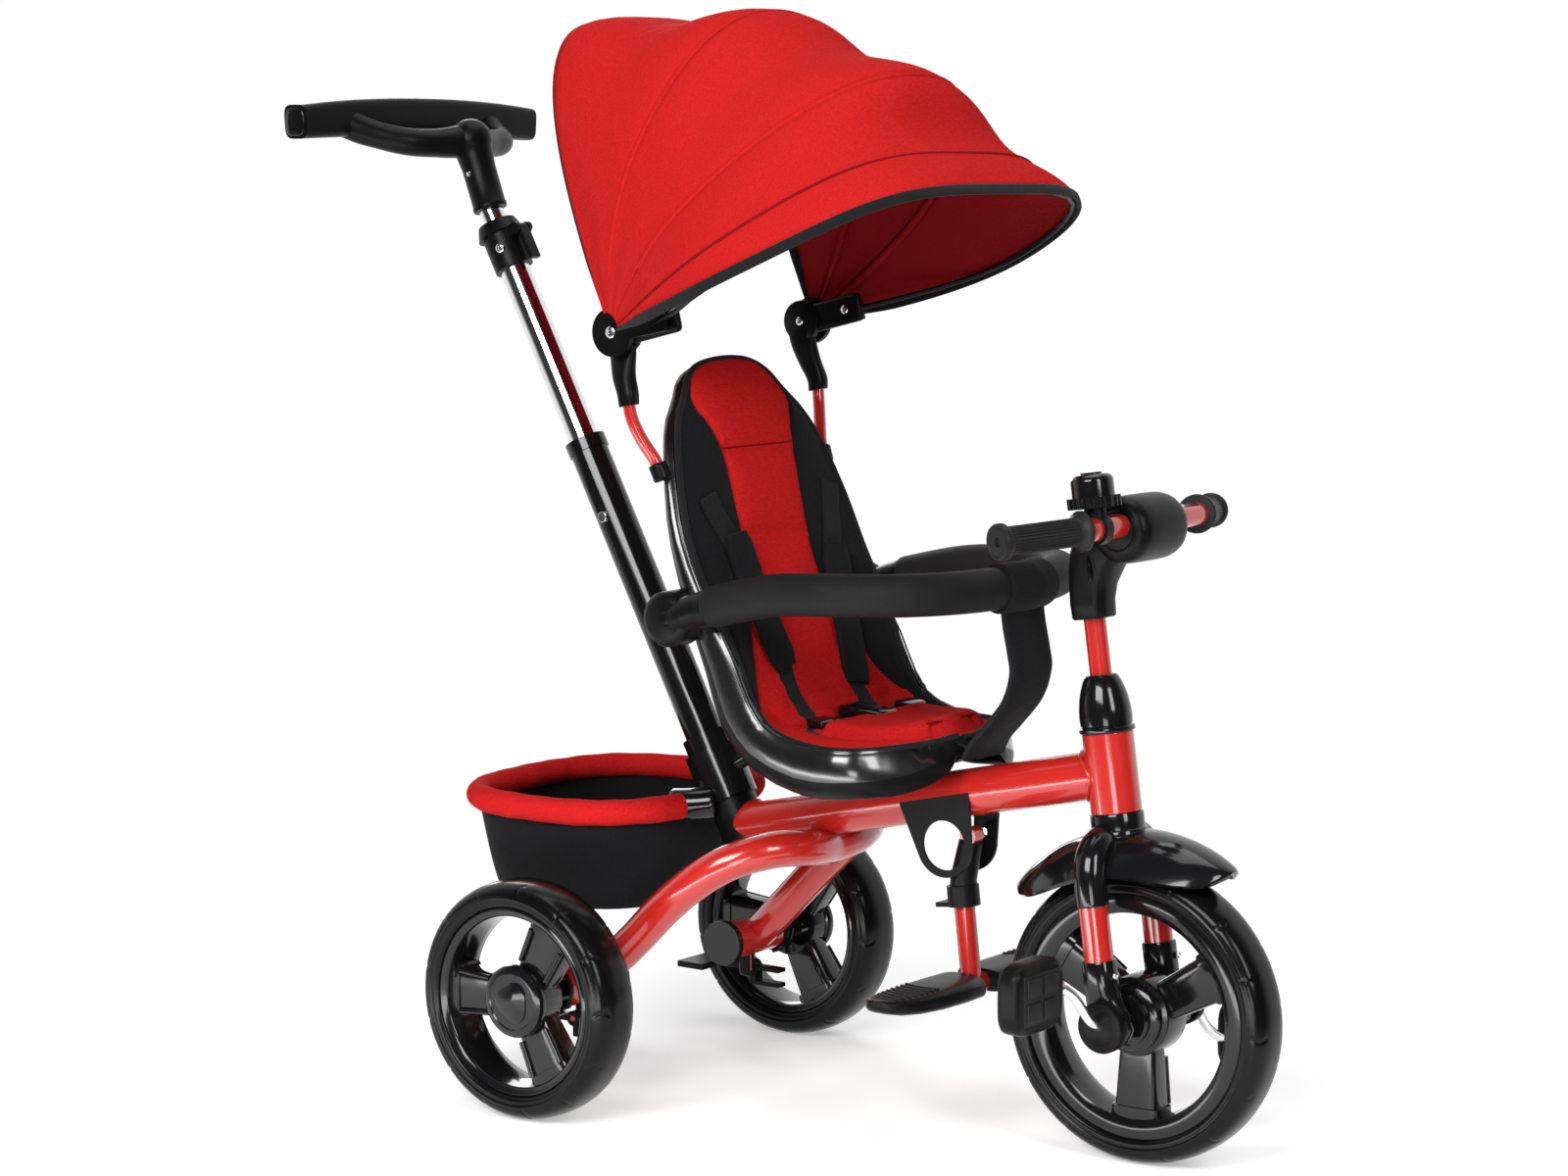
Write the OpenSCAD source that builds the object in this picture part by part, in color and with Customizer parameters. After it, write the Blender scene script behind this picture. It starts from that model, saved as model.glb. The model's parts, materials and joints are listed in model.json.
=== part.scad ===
// Toddler push-along trike with a parent push bar, folding canopy, guard rail, basket and footrest.
// Lengths are in millimetres. +X points forward, +Y to the rider's left, and the wheels stand on Z = 0.

/* [Wheels] */
// Distance from the rear axle to the front axle
wheelbase = 502; // [480:1:530]
// Front wheel diameter over the tyre
front_wheel_d = 250; // [236:1:262]
// Rear wheel diameter over the tyre
rear_wheel_d = 210; // [196:1:224]
// Distance between the middle planes of the rear wheels
rear_track = 394; // [384:1:420]
// Width of the front tyre
front_tyre_w = 45; // [38:1:48]
// Width of each rear tyre
rear_tyre_w = 50; // [42:1:54]

/* [Frame] */
// Diameter of the main tube
main_d = 41; // [36:1:44]
// Slope of the main tube in degrees
main_slope = 12.5; // [11:0.5:14]
// Wall of the frame tubes
tube_wall = 2; // [1.5:0.5:3]
// Diameter of the bent rear fork tube
rear_fork_d = 32; // [28:1:34]
// Diameter of the axle housings
housing_d = 35; // [32:1:38]
// Diameter of the rear axles
axle_d = 10; // [8:1:12]

/* [Steering] */
// Rake of the steering axis in degrees
rake = 8.3; // [7:0.1:10]
// Diameter of the head tube
head_d = 43; // [40:1:46]
// Length of the head tube
head_len = 67; // [62:1:72]
// Diameter of the steerer tube
stem_d = 18.6; // [17:0.2:20]
// Diameter of the fork legs
fork_leg_d = 25; // [22:1:27]
// Distance between the axes of the fork legs
fork_gap = 96; // [92:1:104]

/* [Handlebar] */
// Diameter of the handlebar tube
bar_d = 20; // [18:1:22]
// Height of the handlebar above the front axle, along the steering axis
bar_height = 406; // [395:1:420]
// Distance of the handlebar ahead of the steering axis
bar_reach = 57; // [50:1:62]
// Length of the straight middle of the handlebar
bar_straight = 170; // [160:1:180]
// Length of each grip
grip_len = 91; // [84:1:100]
// Sweep of the grips in degrees
grip_sweep = 21.5; // [15:0.5:25]

/* [Push bar] */
// Lean of the push bar from upright in degrees
push_lean = 28; // [26:0.5:30]
// Diameter of the black lower tube
push_lower_d = 35; // [33:1:38]
// Diameter of the bright middle tube
push_middle_d = 28; // [26:1:30]
// Diameter of the bright upper tube
push_upper_d = 22; // [20:1:23]
// Top of the lower tube along the push bar
push_lower_top = 381; // [360:1:400]
// Top of the middle tube along the push bar
push_middle_top = 570; // [555:1:580]
// Foot of the handle sleeve along the push bar
handle_foot = 617; // [612:1:630]
// Width of the handle
handle_w = 320; // [300:2:340]

/* [Seat] */
// Width of the seat shell
seat_w = 246; // [240:2:252]
// Height of the backrest above the seat
seat_back_h = 322; // [310:2:334]
// Depth of the seat from the backrest's top to its front edge
seat_depth = 284; // [276:1:290]
// Thickness of the shell
seat_wall = 4; // [3:0.5:6]
// Thickness of the padded liner
pad_t = 22; // [16:1:26]

/* [Guard rail] */
// Outer diameter of the foam sleeve
foam_d = 36; // [32:1:38]
// Diameter of the rail tube
rail_d = 20; // [16:1:22]
// Reach of the rail ahead of its pivots
rail_reach = 263; // [258:1:272]

/* [Canopy] */
// Reach of the rear, second, third and front bows from the hinge
bow_reach = [286, 283, 305, 324]; // [260:1:340]
// Half width of the rear, second, third and front bows
bow_half_w = [154, 187, 205, 218]; // [150:1:224]
// Angle of the rear, second, third and front bows above the horizontal in degrees
bow_angle = [110, 76, 45.6, 22.2]; // [15:0.2:116]
// Diameter of the bow wire
bow_d = 5; // [4:0.5:6]
// Drop of the fabric between two bows
canopy_sag = 20; // [5:1:26]

/* [Basket] */
// Length of the basket over its rim
basket_len = 236; // [220:2:250]
// Width of the basket between the rim's centre lines
basket_w = 276; // [260:2:286]
// Diameter of the padded rim
rim_d = 23; // [19:1:26]
// Height of the rim's centre above the ground
rim_z = 257; // [250:1:262]
// Depth of the bag below the rim
bag_depth = 92; // [80:1:100]

/* [Footrest] */
// Diameter of the round window in the bracket
window_d = 43; // [38:1:45]
// Diameter of the footrest tube
foot_tube_d = 18; // [16:1:20]
// Span of the two foot plates
foot_span = 290; // [270:2:310]

/* [Hidden] */
$fn = 48;
// Overrun that cuts take past a face
over = 1;
// Clearance of parts that are pressed or glued together
press = 0.02;
// Radial clearance of parts that turn or slide in each other
run = 0.06;
// Gap between neighbours that never rub
gap = 0.4;

red = [0.75, 0.07, 0.06];
black = [0.06, 0.06, 0.07];
dark = [0.13, 0.13, 0.14];
steel = [0.78, 0.78, 0.80];

// Wheels
front_r = front_wheel_d / 2;
rear_r = rear_wheel_d / 2;
track_half = rear_track / 2;
tyre_h = 22;
tyre_shoulder = 13;
tyre_depth = 60;
rim_ring_h = 17;
rim_inset = 3;
spoke_count = 3;
spoke_t = 30;
spoke_wall = 3.5;
front_hub_r = 33;
front_hub_half = 31;
front_spoke_w = [42, 50];
rear_hub_r = 29;
rear_hub_in = 27;
rear_hub_out = 12;
rear_spoke_w = [36, 44];
cap_r = 32;
cap_t = 7;
cap_round = 3;
nut_room_r = 11;
front_turn = 90;
rear_turn = 60;

// Front axle, cranks and pedals
crank_d = 14;
crank_x = -11.7;
crank_z = 41.9;
crank_boss_r = 19;
crank_boss_t = 12;
crank_arm_r = 8;
crank_knuckle_r = 9.5;
pedal_spindle_r = 5;
pedal_w = 72;
pedal_h = 58;
pedal_t = 20;
pedal_round = 13;
pedal_mid = 156;
pedal_tread_t = 2;
spindle_head = 2;
spindle_head_r = 8;

// Steering axis
fork_offset = 3.2;
head_z = 169;
bush_len = 14;
leg_x = -3;
leg_foot = 22;
leg_top = 146;
leg_r = fork_leg_d / 2;
leg_y = fork_gap / 2;
stem_r = stem_d / 2;
head_r = head_d / 2;
crown_t = 8;
cup_low_r = 23.5;
cup_top_r = 22.5;
cup_step = 6;
shoe_foot = 20;
shoe_top = 66;
shoe_r = 16.5;
shoe_boss_r = 22;
shoe_boss_t = 20;
ring_t = 4;
cap_len = 44;
cap_low_r = 21;
cap_top_r = 13;
fender_r = 160;
fender_t = 3;
fender_half_w = 33;
fender_drop = 15;
fender_front_a = 56;
fender_back_a = 143;
fender_cover_r = 17;
fender_cover_low = 96;
shroud_low = 331;
shroud_collar = 16;
shroud_r = 16.5;
shroud_neck_r = 19;
shroud_neck_w = 30;
pod_r = 27;
pod_w = 74;
pod_round = 9;

// Handlebar, grips and bell
bar_r = bar_d / 2;
bar_bend_r = 26;
grip_r = 12.4;
grip_flange_r = 16.5;
grip_flange_t = 5;
grip_end_r = 14.5;
grip_end_t = 9;
grip_ring_t = 6;
bell_y = -72;
bell_band_w = 10;
bell_band_t = 3;
bell_stalk_r = 9;
bell_base_z = 17;
bell_ring_r = 22;
bell_ring_h = 9;
bell_dome_r = 17.5;
bell_dome_h = 18;
bell_round = 6;
bell_teeth = 20;
bell_tooth_r = 1.6;

// Push bar, measured from where its axis meets the main tube's axis
push_setback = 417.2;
push_root_x = wheelbase - push_setback;
push_root_z = 238.8;
socket_low = -25;
socket_top = 34;
socket_r = main_d / 2 + 0.5 * tube_wall;
lower_foot = -18;
push_lower_r = push_lower_d / 2;
push_middle_r = push_middle_d / 2;
push_upper_r = push_upper_d / 2;
middle_foot = 250;
upper_foot = 400;
upper_wall = 2;
lip_t = 1.5;
lip_len = 12;
cover_low = 24;
cover_top = 72;
cover_r = 25;
collar_top = 87;
collar_r = 21.5;
knob_r = 8;
knob_reach = 40;
knob_s = 52;
rim_lug_r = 10;
rim_lug_y = 30;
clamp_low = 556;
clamp_top = 602;
clamp_r = 18;
clamp_hat_r = 22;
clamp_hat_t = 12;
clamp_pin_x = 25;
clamp_pin_s = 586;
clamp_pin_r = 2;
clamp_ear_t = 4;
clamp_ear_r = 5;
lever_w = 12;
lever_t = 5;
lever_len = 32;
button_s = 305;
button_r = 5;
button_stand = 2.5;
button_len = 9;
sleeve_r = 15.5;
hub_s = 690;
hub_r = 19;
bar_back = 44.5;
bar_s = 731;
bar_rise = 5;
handle_section = [15, 17];
branch_r = 11;
branch_y = 92;

// Rear fork and axles
arch_ahead = 99.2;
arch_x = push_root_x + arch_ahead;
arch_y = 137;
arch_drop = 24.792110534;
arch_rise = main_height(arch_x) - rear_r - arch_drop;
arch_shares = [[0.98, 0, 0.95], [1, 0.26, 0.985], [0.935, 0.51, 1], [0.79, 0.715, 0.925],
    [0.625, 0.818, 0.765], [0.467, 0.847, 0.573], [0.315, 0.854, 0.36], [0.168, 0.89, 0.17], [0, 1, 0]];
housing_in = 88;
housing_out = 162;
axle_cap_r = 21;
axle_cap_t = 7;
washer_r = 9;
nut_r = 8;
nut_t = 6;
brake_lug_y = 118;
brake_lug_t = 6;
brake_pivot_drop = 30;
brake_pin_r = 3;
brake_boss_r = 7;
brake_boss_w = 12;
brake_arm_t = 6;
brake_pad = [30, 40, 6];
brake_reach = 34;
prong_len = 34;
prong_gap = 14;
prong_t = 4;

// Seat
seat_setback = 22.8;
seat_stand = 17.293354118;
seat_x = push_root_x - seat_setback;
seat_z = main_height(seat_x + seat_depth) + seat_stand;
seat_half = seat_w / 2;
seat_corner = [seat_x, seat_half, seat_z];
edge_rise = 38;
lip_drop = 44;
lip_out = 3;
pad_edge_share = 0.95;
pad_edge_t = 5;
pad_clear = 1.3;
// Along the seat's middle line: depth, height, half-width, edge-rise and lip-depth shares
seat_shares = [[-0.014, 1.04, 0.16, 0.10, 0.25], [0.0035, 0.994, 0.45, 0.13, 0.25],
    [0.0355, 0.91, 0.70, 0.17, 0.30], [0.0775, 0.81, 0.85, 0.20, 0.32], [0.123, 0.65, 0.97, 0.33, 0.40],
    [0.162, 0.519, 1, 0.46, 0.50], [0.204, 0.394, 1, 0.68, 0.68], [0.264, 0.248, 1, 0.95, 0.90],
    [0.327, 0.118, 1, 1, 1], [0.433, 0.025, 1, 0.95, 1], [0.609, 0.003, 1, 0.68, 1],
    [0.76, 0.003, 0.985, 0.62, 0.95], [0.866, 0.013, 0.90, 0.55, 0.85], [0.944, 0.031, 0.70, 0.45, 0.65],
    [0.982, 0.05, 0.42, 0.35, 0.45], [1, 0.062, 0.20, 0.30, 0.35]];
// Down the rolled lip: share of its overhang and of its depth
lip_shares = [[0.6, 0.05], [1, 0.3], [0.9, 1]];
seat_steps = 2;
seat_columns = 14;
shell_power = 4;
channel_shares = [0.185, 0.285, 0.412];
channel_width_share = 0.012;
channel_depth_share = 0.35;
cushion_start_share = 0.60;
cushion_end_share = 0.93;
cushion_lift = 9;
strap_half_share = 0.12;
strap_mid_share = 0.48;
strap_pad_t = 5;
strap_t = 2;
strap_clear = 1;
buckle = [46, 40, 9];
buckle_share = 0.74;
saddle_behind = 114;
saddle_x = seat_x + seat_depth - saddle_behind;
saddle_len = 70;
saddle_w = 34;
saddle_bolt_r = 4;
saddle_bolt_gap = 40;
bolt_head_r = 7;
bolt_head_t = 3;

// Guard rail
rail_ahead = 55;
rail_up = 127;
rail_front_up = 160;
rail_x = seat_x + rail_ahead;
rail_z = seat_z + rail_up;
rail_front_z = seat_z + rail_front_up;
rail_r = rail_d / 2;
foam_r = foam_d / 2;
rail_plate_t = 6;
rail_disc_r = 24;
rail_disc_t = 14;
rail_pin_r = 5;
rail_joint_r = 13;
rail_set_share = 0.85;
// Along the rail: reach share, half-width share, rise share
rail_shares = [[0.1, 1, 0.25], [0.18, 1, 0.42], [0.43, 1, 0.85], [0.68, 0.97, 0.97], [0.85, 0.81, 1],
    [0.947, 0.49, 1], [1, 0, 1]];
rail_steps = 3;
crotch_w = 60;
crotch_t = 13;
crotch_wrap_t = 4;
// Down the crotch pad: reach share, drop share
crotch_shares = [[1, 0.1], [1.015, 0.2], [1.023, 0.34], [1.019, 0.44], [0.992, 0.58], [0.925, 0.70], [0.895, 0.745]];

// Canopy
hinge_behind = 5.3;
hinge_up = 369;
hinge_x = seat_x - hinge_behind;
hinge_z = seat_z + hinge_up;
fabric_half_w = 150;
flare_share = 0.6;
bow_straight = 63;
bow_squareness_shares = [3.4, 2.25, 2.25, 4];
bow_lift = [0, 0, 0, 10.8];
fabric_t = 2;
bow_inset = fabric_t + 2 * gap + bow_d / 2;
fabric_foot = 27;
panel_steps = 4;
arch_columns = 28;
stack_inset = 34;
stack_in = fabric_half_w - stack_inset;
post_t = 8;
post_r = 19;
eye_t = 5.4;
eye_r = 14;
front_eye_r = 21;
front_eye_t = 5.6;
bow_start = 9;
hinge_pin_r = 4;
bracket_len = 58;
bracket_w = 17;
arm_r = 5.5;
// Points of the canopy arm, from the seat's corner below and from the hinge's corner above
arm_foot_set = [28, -3.5, 244];
arm_bend_set = [22, -1, 259];
hinge_corner = [seat_x, stack_in, seat_z];
arm_mid_set = [14, 15, 278];
arm_neck_set = [8, 21.5, 298];
arm_top_set = [5.5, 22.5, 318];
arm_foot = seat_corner + arm_foot_set;
arm_bend = seat_corner + arm_bend_set;
arm_mid = hinge_corner + arm_mid_set;
arm_neck = hinge_corner + arm_neck_set;
arm_top = hinge_corner + arm_top_set;
post_foot_r = 8.5;
arm_sleeve_r = 8.5;
sleeve_inset = 9.2;
sleeve_flat_y = seat_half - sleeve_inset;

// Basket
basket_setback = 142.8;
basket_mid_x = push_root_x - basket_setback;
basket_shares = 2.7;
rim_steps = 40;
bag_wall = 2.5;
bag_shares = [[0, 0.99], [0.12, 0.985], [0.6, 0.92], [0.9, 0.86], [1, 0.79]];
bag_inset = 1;
rim_open = 8.3;

// Footrest
plate_t = 3;
plate_in = 18;
window_setback = 186;
window_drop = 41.555806003;
window_x = wheelbase - window_setback;
window_z = main_height(window_x) - window_drop;
window_wall = 6.5;
plate_behind = 46;
plate_ahead = 25;
far_plate_start = 5;
far_plate_ahead = 30;
plate_back_x = window_x - plate_behind;
plate_front_x = window_x + plate_ahead;
far_plate_back_x = window_x + far_plate_start;
far_plate_front_x = window_x + far_plate_ahead;
foot_pivot_ahead = 15;
foot_pivot_up = 7.5;
foot_pivot_x = window_x + foot_pivot_ahead;
foot_pivot_z = window_z + foot_pivot_up;
foot_pin_r = 4;
lug_t = 14;
lug_r = 8;
knuckle_ahead = 6;
knuckle_drop = 36.5;
cross_ahead = 16;
cross_drop = 121.5;
knuckle_x = window_x + knuckle_ahead;
knuckle_z = window_z - knuckle_drop;
cross_x = window_x + cross_ahead;
cross_z = window_z - cross_drop;
cross_r = 10;
collar_h = 18;
footrest_collar_r = 14;
thumb_len = 24;
thumb_t = 4;
thumb_w = 18;
foot_in = 15;
foot_len = 52;
foot_t = 20;
foot_tip = 9;
foot_round = 12;

origin_x = -(wheelbase + front_r + push_root_x - bar_s * sin(push_lean) - bar_back * cos(push_lean)
    - handle_section[0]) / 2;

// Vectors, curves and lofted solids
function unit(v) = v / norm(v);
function mix(a, b, t) = a + (b - a) * t;
function last(list) = list[len(list) - 1];

function curve_point(p, i, t) =
    let (a = p[max(i - 1, 0)], b = p[i], c = p[i + 1], d = p[min(i + 2, len(p) - 1)])
    (2 * b + (c - a) * t + (2 * a - 5 * b + 4 * c - d) * t * t + (3 * b - a - 3 * c + d) * t * t * t) / 2;

function curve(p, steps) = concat(
    [for (i = [0:len(p) - 2], k = [0:steps - 1]) curve_point(p, i, k / steps)], [last(p)]);

function mirrored(p) = [p[0], -p[1], p[2]];

// A path given on the left side, carried over to the right side through its last point
function across(p) = concat([for (q = p) q], [for (i = [len(p) - 2:-1:0]) mirrored(p[i])]);

function tangent(p, i) = unit(p[min(i + 1, len(p) - 1)] - p[max(i - 1, 0)]);

function swept(p, up, section) = [for (i = [0:len(p) - 1])
    let (t = tangent(p, i), n = unit(cross(up, t)), m = cross(t, n))
    [for (q = section) p[i] + q[0] * n + q[1] * m]];

function circle_section(r, sides) = [for (k = [0:sides - 1]) r * [cos(360 * k / sides), sin(360 * k / sides)]];

function power(v, e) = sign(v) * pow(abs(v), e);

function square_section(size, squareness, sides) = [for (k = [0:sides - 1]) let (a = 360 * k / sides)
    [size[0] * power(cos(a), 2 / squareness), size[1] * power(sin(a), 2 / squareness)]];

// Closed solid through a row of rings
module skin(rings) {
    n = len(rings);
    k = len(rings[0]);
    walls = [for (i = [0:n - 2], j = [0:k - 1])
        let (a = i * k + j, b = i * k + (j + 1) % k, c = b + k, d = a + k)
        each [[a, c, b], [a, d, c]]];
    foot = [for (j = [1:k - 2]) [0, j, j + 1]];
    top = [for (j = [1:k - 2]) [(n - 1) * k, (n - 1) * k + j + 1, (n - 1) * k + j]];
    polyhedron([for (r = rings) each r], concat(walls, foot, top));
}

// Closed sheet between an upper and a lower grid of points
module sheet(upper, lower) {
    n = len(upper);
    k = len(upper[0]);
    half = n * k;
    quads = [for (i = [0:n - 2], j = [0:k - 2]) [i * k + j, i * k + j + 1, (i + 1) * k + j + 1, (i + 1) * k + j]];
    rim = concat([for (j = [0:k - 2]) [j + 1, j]], [for (i = [0:n - 2]) [i * k, (i + 1) * k]],
        [for (j = [0:k - 2]) [(n - 1) * k + j, (n - 1) * k + j + 1]],
        [for (i = [0:n - 2]) [(i + 2) * k - 1, (i + 1) * k - 1]]);
    polyhedron([for (r = upper) each r, for (r = lower) each r], concat(
        [for (q = quads) each [[q[0], q[1], q[2]], [q[0], q[2], q[3]]]],
        [for (q = quads) each [[half + q[0], half + q[2], half + q[1]], [half + q[0], half + q[3], half + q[2]]]],
        [for (e = rim) each [[e[0], e[1], half + e[1]], [e[0], half + e[1], half + e[0]]]]));
}

// Placing
module placed() {
    translate([origin_x, 0, 0]) children();
}

module both_sides() {
    children();
    mirror([0, 1, 0]) children();
}

// Local Z along +Y
module on_axle(p) {
    translate(p) rotate([-90, 0, 0]) children();
}

module between(a, b) {
    d = b - a;
    translate(a) rotate([0, acos(d[2] / norm(d)), atan2(d[1], d[0])]) children();
}

module rod(a, b, r) {
    between(a, b) cylinder(h = norm(b - a), r = r);
}

module pipe(h, r, bore) {
    difference() {
        cylinder(h = h, r = r);
        translate([0, 0, -over]) cylinder(h = h + 2 * over, r = bore);
    }
}

module disc_y(p, r, y0, y1) {
    on_axle([p[0], y0, p[2]]) cylinder(h = y1 - y0, r = r);
}

module rounded_rect(w, h, r) {
    square([w - 2 * r, h], center = true);
    square([w, h - 2 * r], center = true);
    for (x = [-1, 1], y = [-1, 1]) translate([x * (w / 2 - r), y * (h / 2 - r)]) circle(r);
}

// Local Z along the steering axis, with the origin abreast of the front axle
module in_steering() {
    translate([wheelbase, 0, front_r]) rotate([0, -rake, 0]) translate([-fork_offset, 0, 0]) children();
}

// Local Z up the push bar, with the origin on the main tube's axis
module in_push() {
    translate([push_root_x, 0, push_root_z]) rotate([0, -push_lean, 0]) children();
}

function push_point(x, y, s) = [push_root_x + x * cos(push_lean) - s * sin(push_lean), y,
    push_root_z + x * sin(push_lean) + s * cos(push_lean)];

// Local Z forward along the main tube
module in_main() {
    translate([push_root_x, 0, push_root_z]) rotate([0, 90 - main_slope, 0]) children();
}

steer_x = wheelbase - fork_offset * cos(rake);
steer_z = front_r - fork_offset * sin(rake);
main_len = ((steer_x - push_root_x) + (steer_z - push_root_z) * tan(rake))
    / (cos(main_slope) + sin(main_slope) * tan(rake));
main_r = main_d / 2;

function main_height(x) = push_root_z + (x - push_root_x) * tan(main_slope);

module main_solid() {
    in_main() cylinder(h = main_len, r = main_r);
}

module socket_solid() {
    in_push() translate([0, 0, socket_low]) cylinder(h = socket_top - socket_low, r = socket_r);
}

module lower_solid() {
    in_push() translate([0, 0, lower_foot]) cylinder(h = push_lower_top - lower_foot, r = push_lower_r);
}

// Frame tubes
module main_tube() {
    color(red) difference() {
        in_main() pipe(main_len, main_r, main_r - tube_wall);
        in_steering() translate([0, 0, head_z - over]) cylinder(h = head_len + 2 * over, r = head_r);
        socket_solid();
    }
}

module head_tube() {
    color(red) in_steering() translate([0, 0, head_z]) pipe(head_len, head_r, head_r - tube_wall);
}

module head_bushes() {
    color(dark) in_steering() for (z = [head_z, head_z + head_len - bush_len])
        translate([0, 0, z]) pipe(bush_len, head_r - tube_wall - press, stem_r + run);
}

module push_socket() {
    color(red) difference() {
        socket_solid();
        in_push() translate([0, 0, lower_foot]) cylinder(h = push_lower_top, r = push_lower_r + press);
    }
}

arch_path = curve([for (i = [len(arch_shares) - 1:-1:0]) let (q = arch_shares[i])
    [q[0] * arch_x, q[1] * arch_y, rear_r + q[2] * arch_rise]], 2);

module rear_fork() {
    color(red) difference() {
        skin(swept(across(arch_path), [-1, 0, 1], circle_section(rear_fork_d / 2, 16)));
        main_solid();
        both_sides() disc_y([0, 0, rear_r], housing_d / 2, housing_in - over, housing_out + over);
    }
}

// Rear axle housings, each with a lug and pin for the brake lever
module axle_housings() {
    color(red) both_sides() {
        difference() {
            union() {
                disc_y([0, 0, rear_r], housing_d / 2, housing_in, housing_out);
                translate([-brake_boss_r, brake_lug_y, rear_r - brake_pivot_drop])
                    cube([2 * brake_boss_r, brake_lug_t, brake_pivot_drop]);
                disc_y([0, 0, rear_r - brake_pivot_drop], brake_boss_r, brake_lug_y, brake_lug_y + brake_lug_t);
            }
            disc_y([0, 0, rear_r], axle_d / 2 + press, housing_in - over, housing_out + over);
        }
        disc_y([0, 0, rear_r - brake_pivot_drop], brake_pin_r, brake_lug_y, brake_lug_y + brake_lug_t + gap
            + brake_boss_w);
    }
}

wheel_in = track_half - rear_hub_in;
wheel_out = track_half + rear_hub_out;

// Rear axles with an inner cap, a shoulder washer and an outer nut
module rear_axles() {
    color(black) both_sides() {
        disc_y([0, 0, rear_r], axle_cap_r, housing_in - axle_cap_t, housing_in);
        disc_y([0, 0, rear_r], axle_d / 2, housing_in, wheel_out + gap + nut_t);
        disc_y([0, 0, rear_r], washer_r, housing_out, wheel_in - gap);
        on_axle([0, wheel_out + gap, rear_r]) cylinder(h = nut_t, r = nut_r, $fn = 6);
    }
}

// Brake levers, with a foot pad behind and two prongs ahead that catch the wheel's ribs
module brake_lever() {
    pivot = [0, 0, rear_r - brake_pivot_drop];
    y0 = brake_lug_y + brake_lug_t + gap;
    color(dark) difference() {
        union() {
            disc_y(pivot, brake_boss_r, y0, y0 + brake_boss_w);
            translate(pivot + [-brake_reach, y0, -brake_arm_t / 2]) cube([brake_reach, brake_boss_w, brake_arm_t]);
            translate(pivot + [-brake_reach - brake_pad[0], y0 + brake_boss_w - brake_pad[1], -brake_arm_t / 2])
                cube(brake_pad);
            for (z = [0, -prong_gap]) translate(pivot + [0, y0, z - prong_t / 2])
                cube([prong_len, brake_boss_w, prong_t]);
            translate(pivot + [0, y0, -prong_gap - prong_t / 2]) cube([brake_boss_r, brake_boss_w, prong_gap]);
        }
        disc_y(pivot, brake_pin_r + run, y0 - over, y0 + brake_boss_w + over);
    }
}

module brake_left() {
    brake_lever();
}

module brake_right() {
    mirror([0, 1, 0]) brake_lever();
}

// Wheels, drawn with local Z along the axle and pointing outwards
module tyre(r, w) {
    color(dark) rotate_extrude() intersection() {
        translate([r - tyre_depth / 2, 0]) rounded_rect(tyre_depth, w, tyre_shoulder);
        translate([r - tyre_h, -w / 2]) square([tyre_h, w]);
    }
}

module spokes(in_r, out_r, w, turn, shrink, t) {
    for (k = [0:spoke_count - 1]) rotate(turn + k * 360 / spoke_count)
        linear_extrude(height = t, center = true) polygon([[in_r, shrink - w[0] / 2], [out_r, shrink - w[1] / 2],
            [out_r, w[1] / 2 - shrink], [in_r, w[0] / 2 - shrink]]);
}

module rim_ring(r, w) {
    ring_r = r - tyre_h - press;
    difference() {
        cylinder(h = w - 2 * rim_inset, r = ring_r, center = true);
        cylinder(h = w, r = ring_r - rim_ring_h, center = true);
    }
}

module rim_spokes(r, hub_r, w, turn) {
    inner = r - tyre_h - rim_ring_h;
    difference() {
        spokes(hub_r - spoke_wall, inner + spoke_wall, w, turn, 0, spoke_t);
        translate([0, 0, -spoke_wall]) spokes(hub_r + spoke_wall, inner - spoke_wall, w, turn, spoke_wall, spoke_t);
    }
}

module front_axle_place() {
    in_steering() on_axle([fork_offset, 0, 0]) children();
}

module front_tyre() {
    front_axle_place() tyre(front_r, front_tyre_w);
}

module front_rim() {
    color(black) front_axle_place() difference() {
        union() {
            rim_ring(front_r, front_tyre_w);
            rim_spokes(front_r, front_hub_r, front_spoke_w, front_turn);
            cylinder(h = 2 * front_hub_half, r = front_hub_r, center = true);
        }
        cylinder(h = 2 * front_hub_half + 2 * over, r = crank_d / 2 + run, center = true);
    }
}

module rear_wheel_place(side) {
    if (side > 0) on_axle([0, track_half, rear_r]) children();
    else mirror([0, 1, 0]) on_axle([0, track_half, rear_r]) children();
}

module rear_rim(side) {
    color(black) rear_wheel_place(side) difference() {
        union() {
            rim_ring(rear_r, rear_tyre_w);
            rim_spokes(rear_r, rear_hub_r, rear_spoke_w, rear_turn);
            translate([0, 0, -rear_hub_in]) cylinder(h = rear_hub_in + rear_hub_out, r = rear_hub_r);
            translate([0, 0, rear_hub_out]) cylinder(h = cap_t, r = cap_r);
            translate([0, 0, rear_hub_out + cap_t]) cylinder(h = cap_round, r1 = cap_r, r2 = cap_r - cap_round);
        }
        translate([0, 0, -rear_hub_in - over]) cylinder(h = rear_hub_in + rear_hub_out + 2 * over, r = axle_d / 2 + run);
        translate([0, 0, rear_hub_out]) cylinder(h = cap_t, r = nut_room_r);
    }
}

module rear_tyre_left() {
    rear_wheel_place(1) tyre(rear_r, rear_tyre_w);
}

module rear_tyre_right() {
    rear_wheel_place(-1) tyre(rear_r, rear_tyre_w);
}

module rear_rim_left() {
    rear_rim(1);
}

module rear_rim_right() {
    rear_rim(-1);
}

// Front axle, both crank arms and the pedal spindles, bent from one rod
boss_y = leg_y + shoe_boss_t / 2 + gap;
spindle_in = pedal_mid - pedal_w / 2 - gap;

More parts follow.
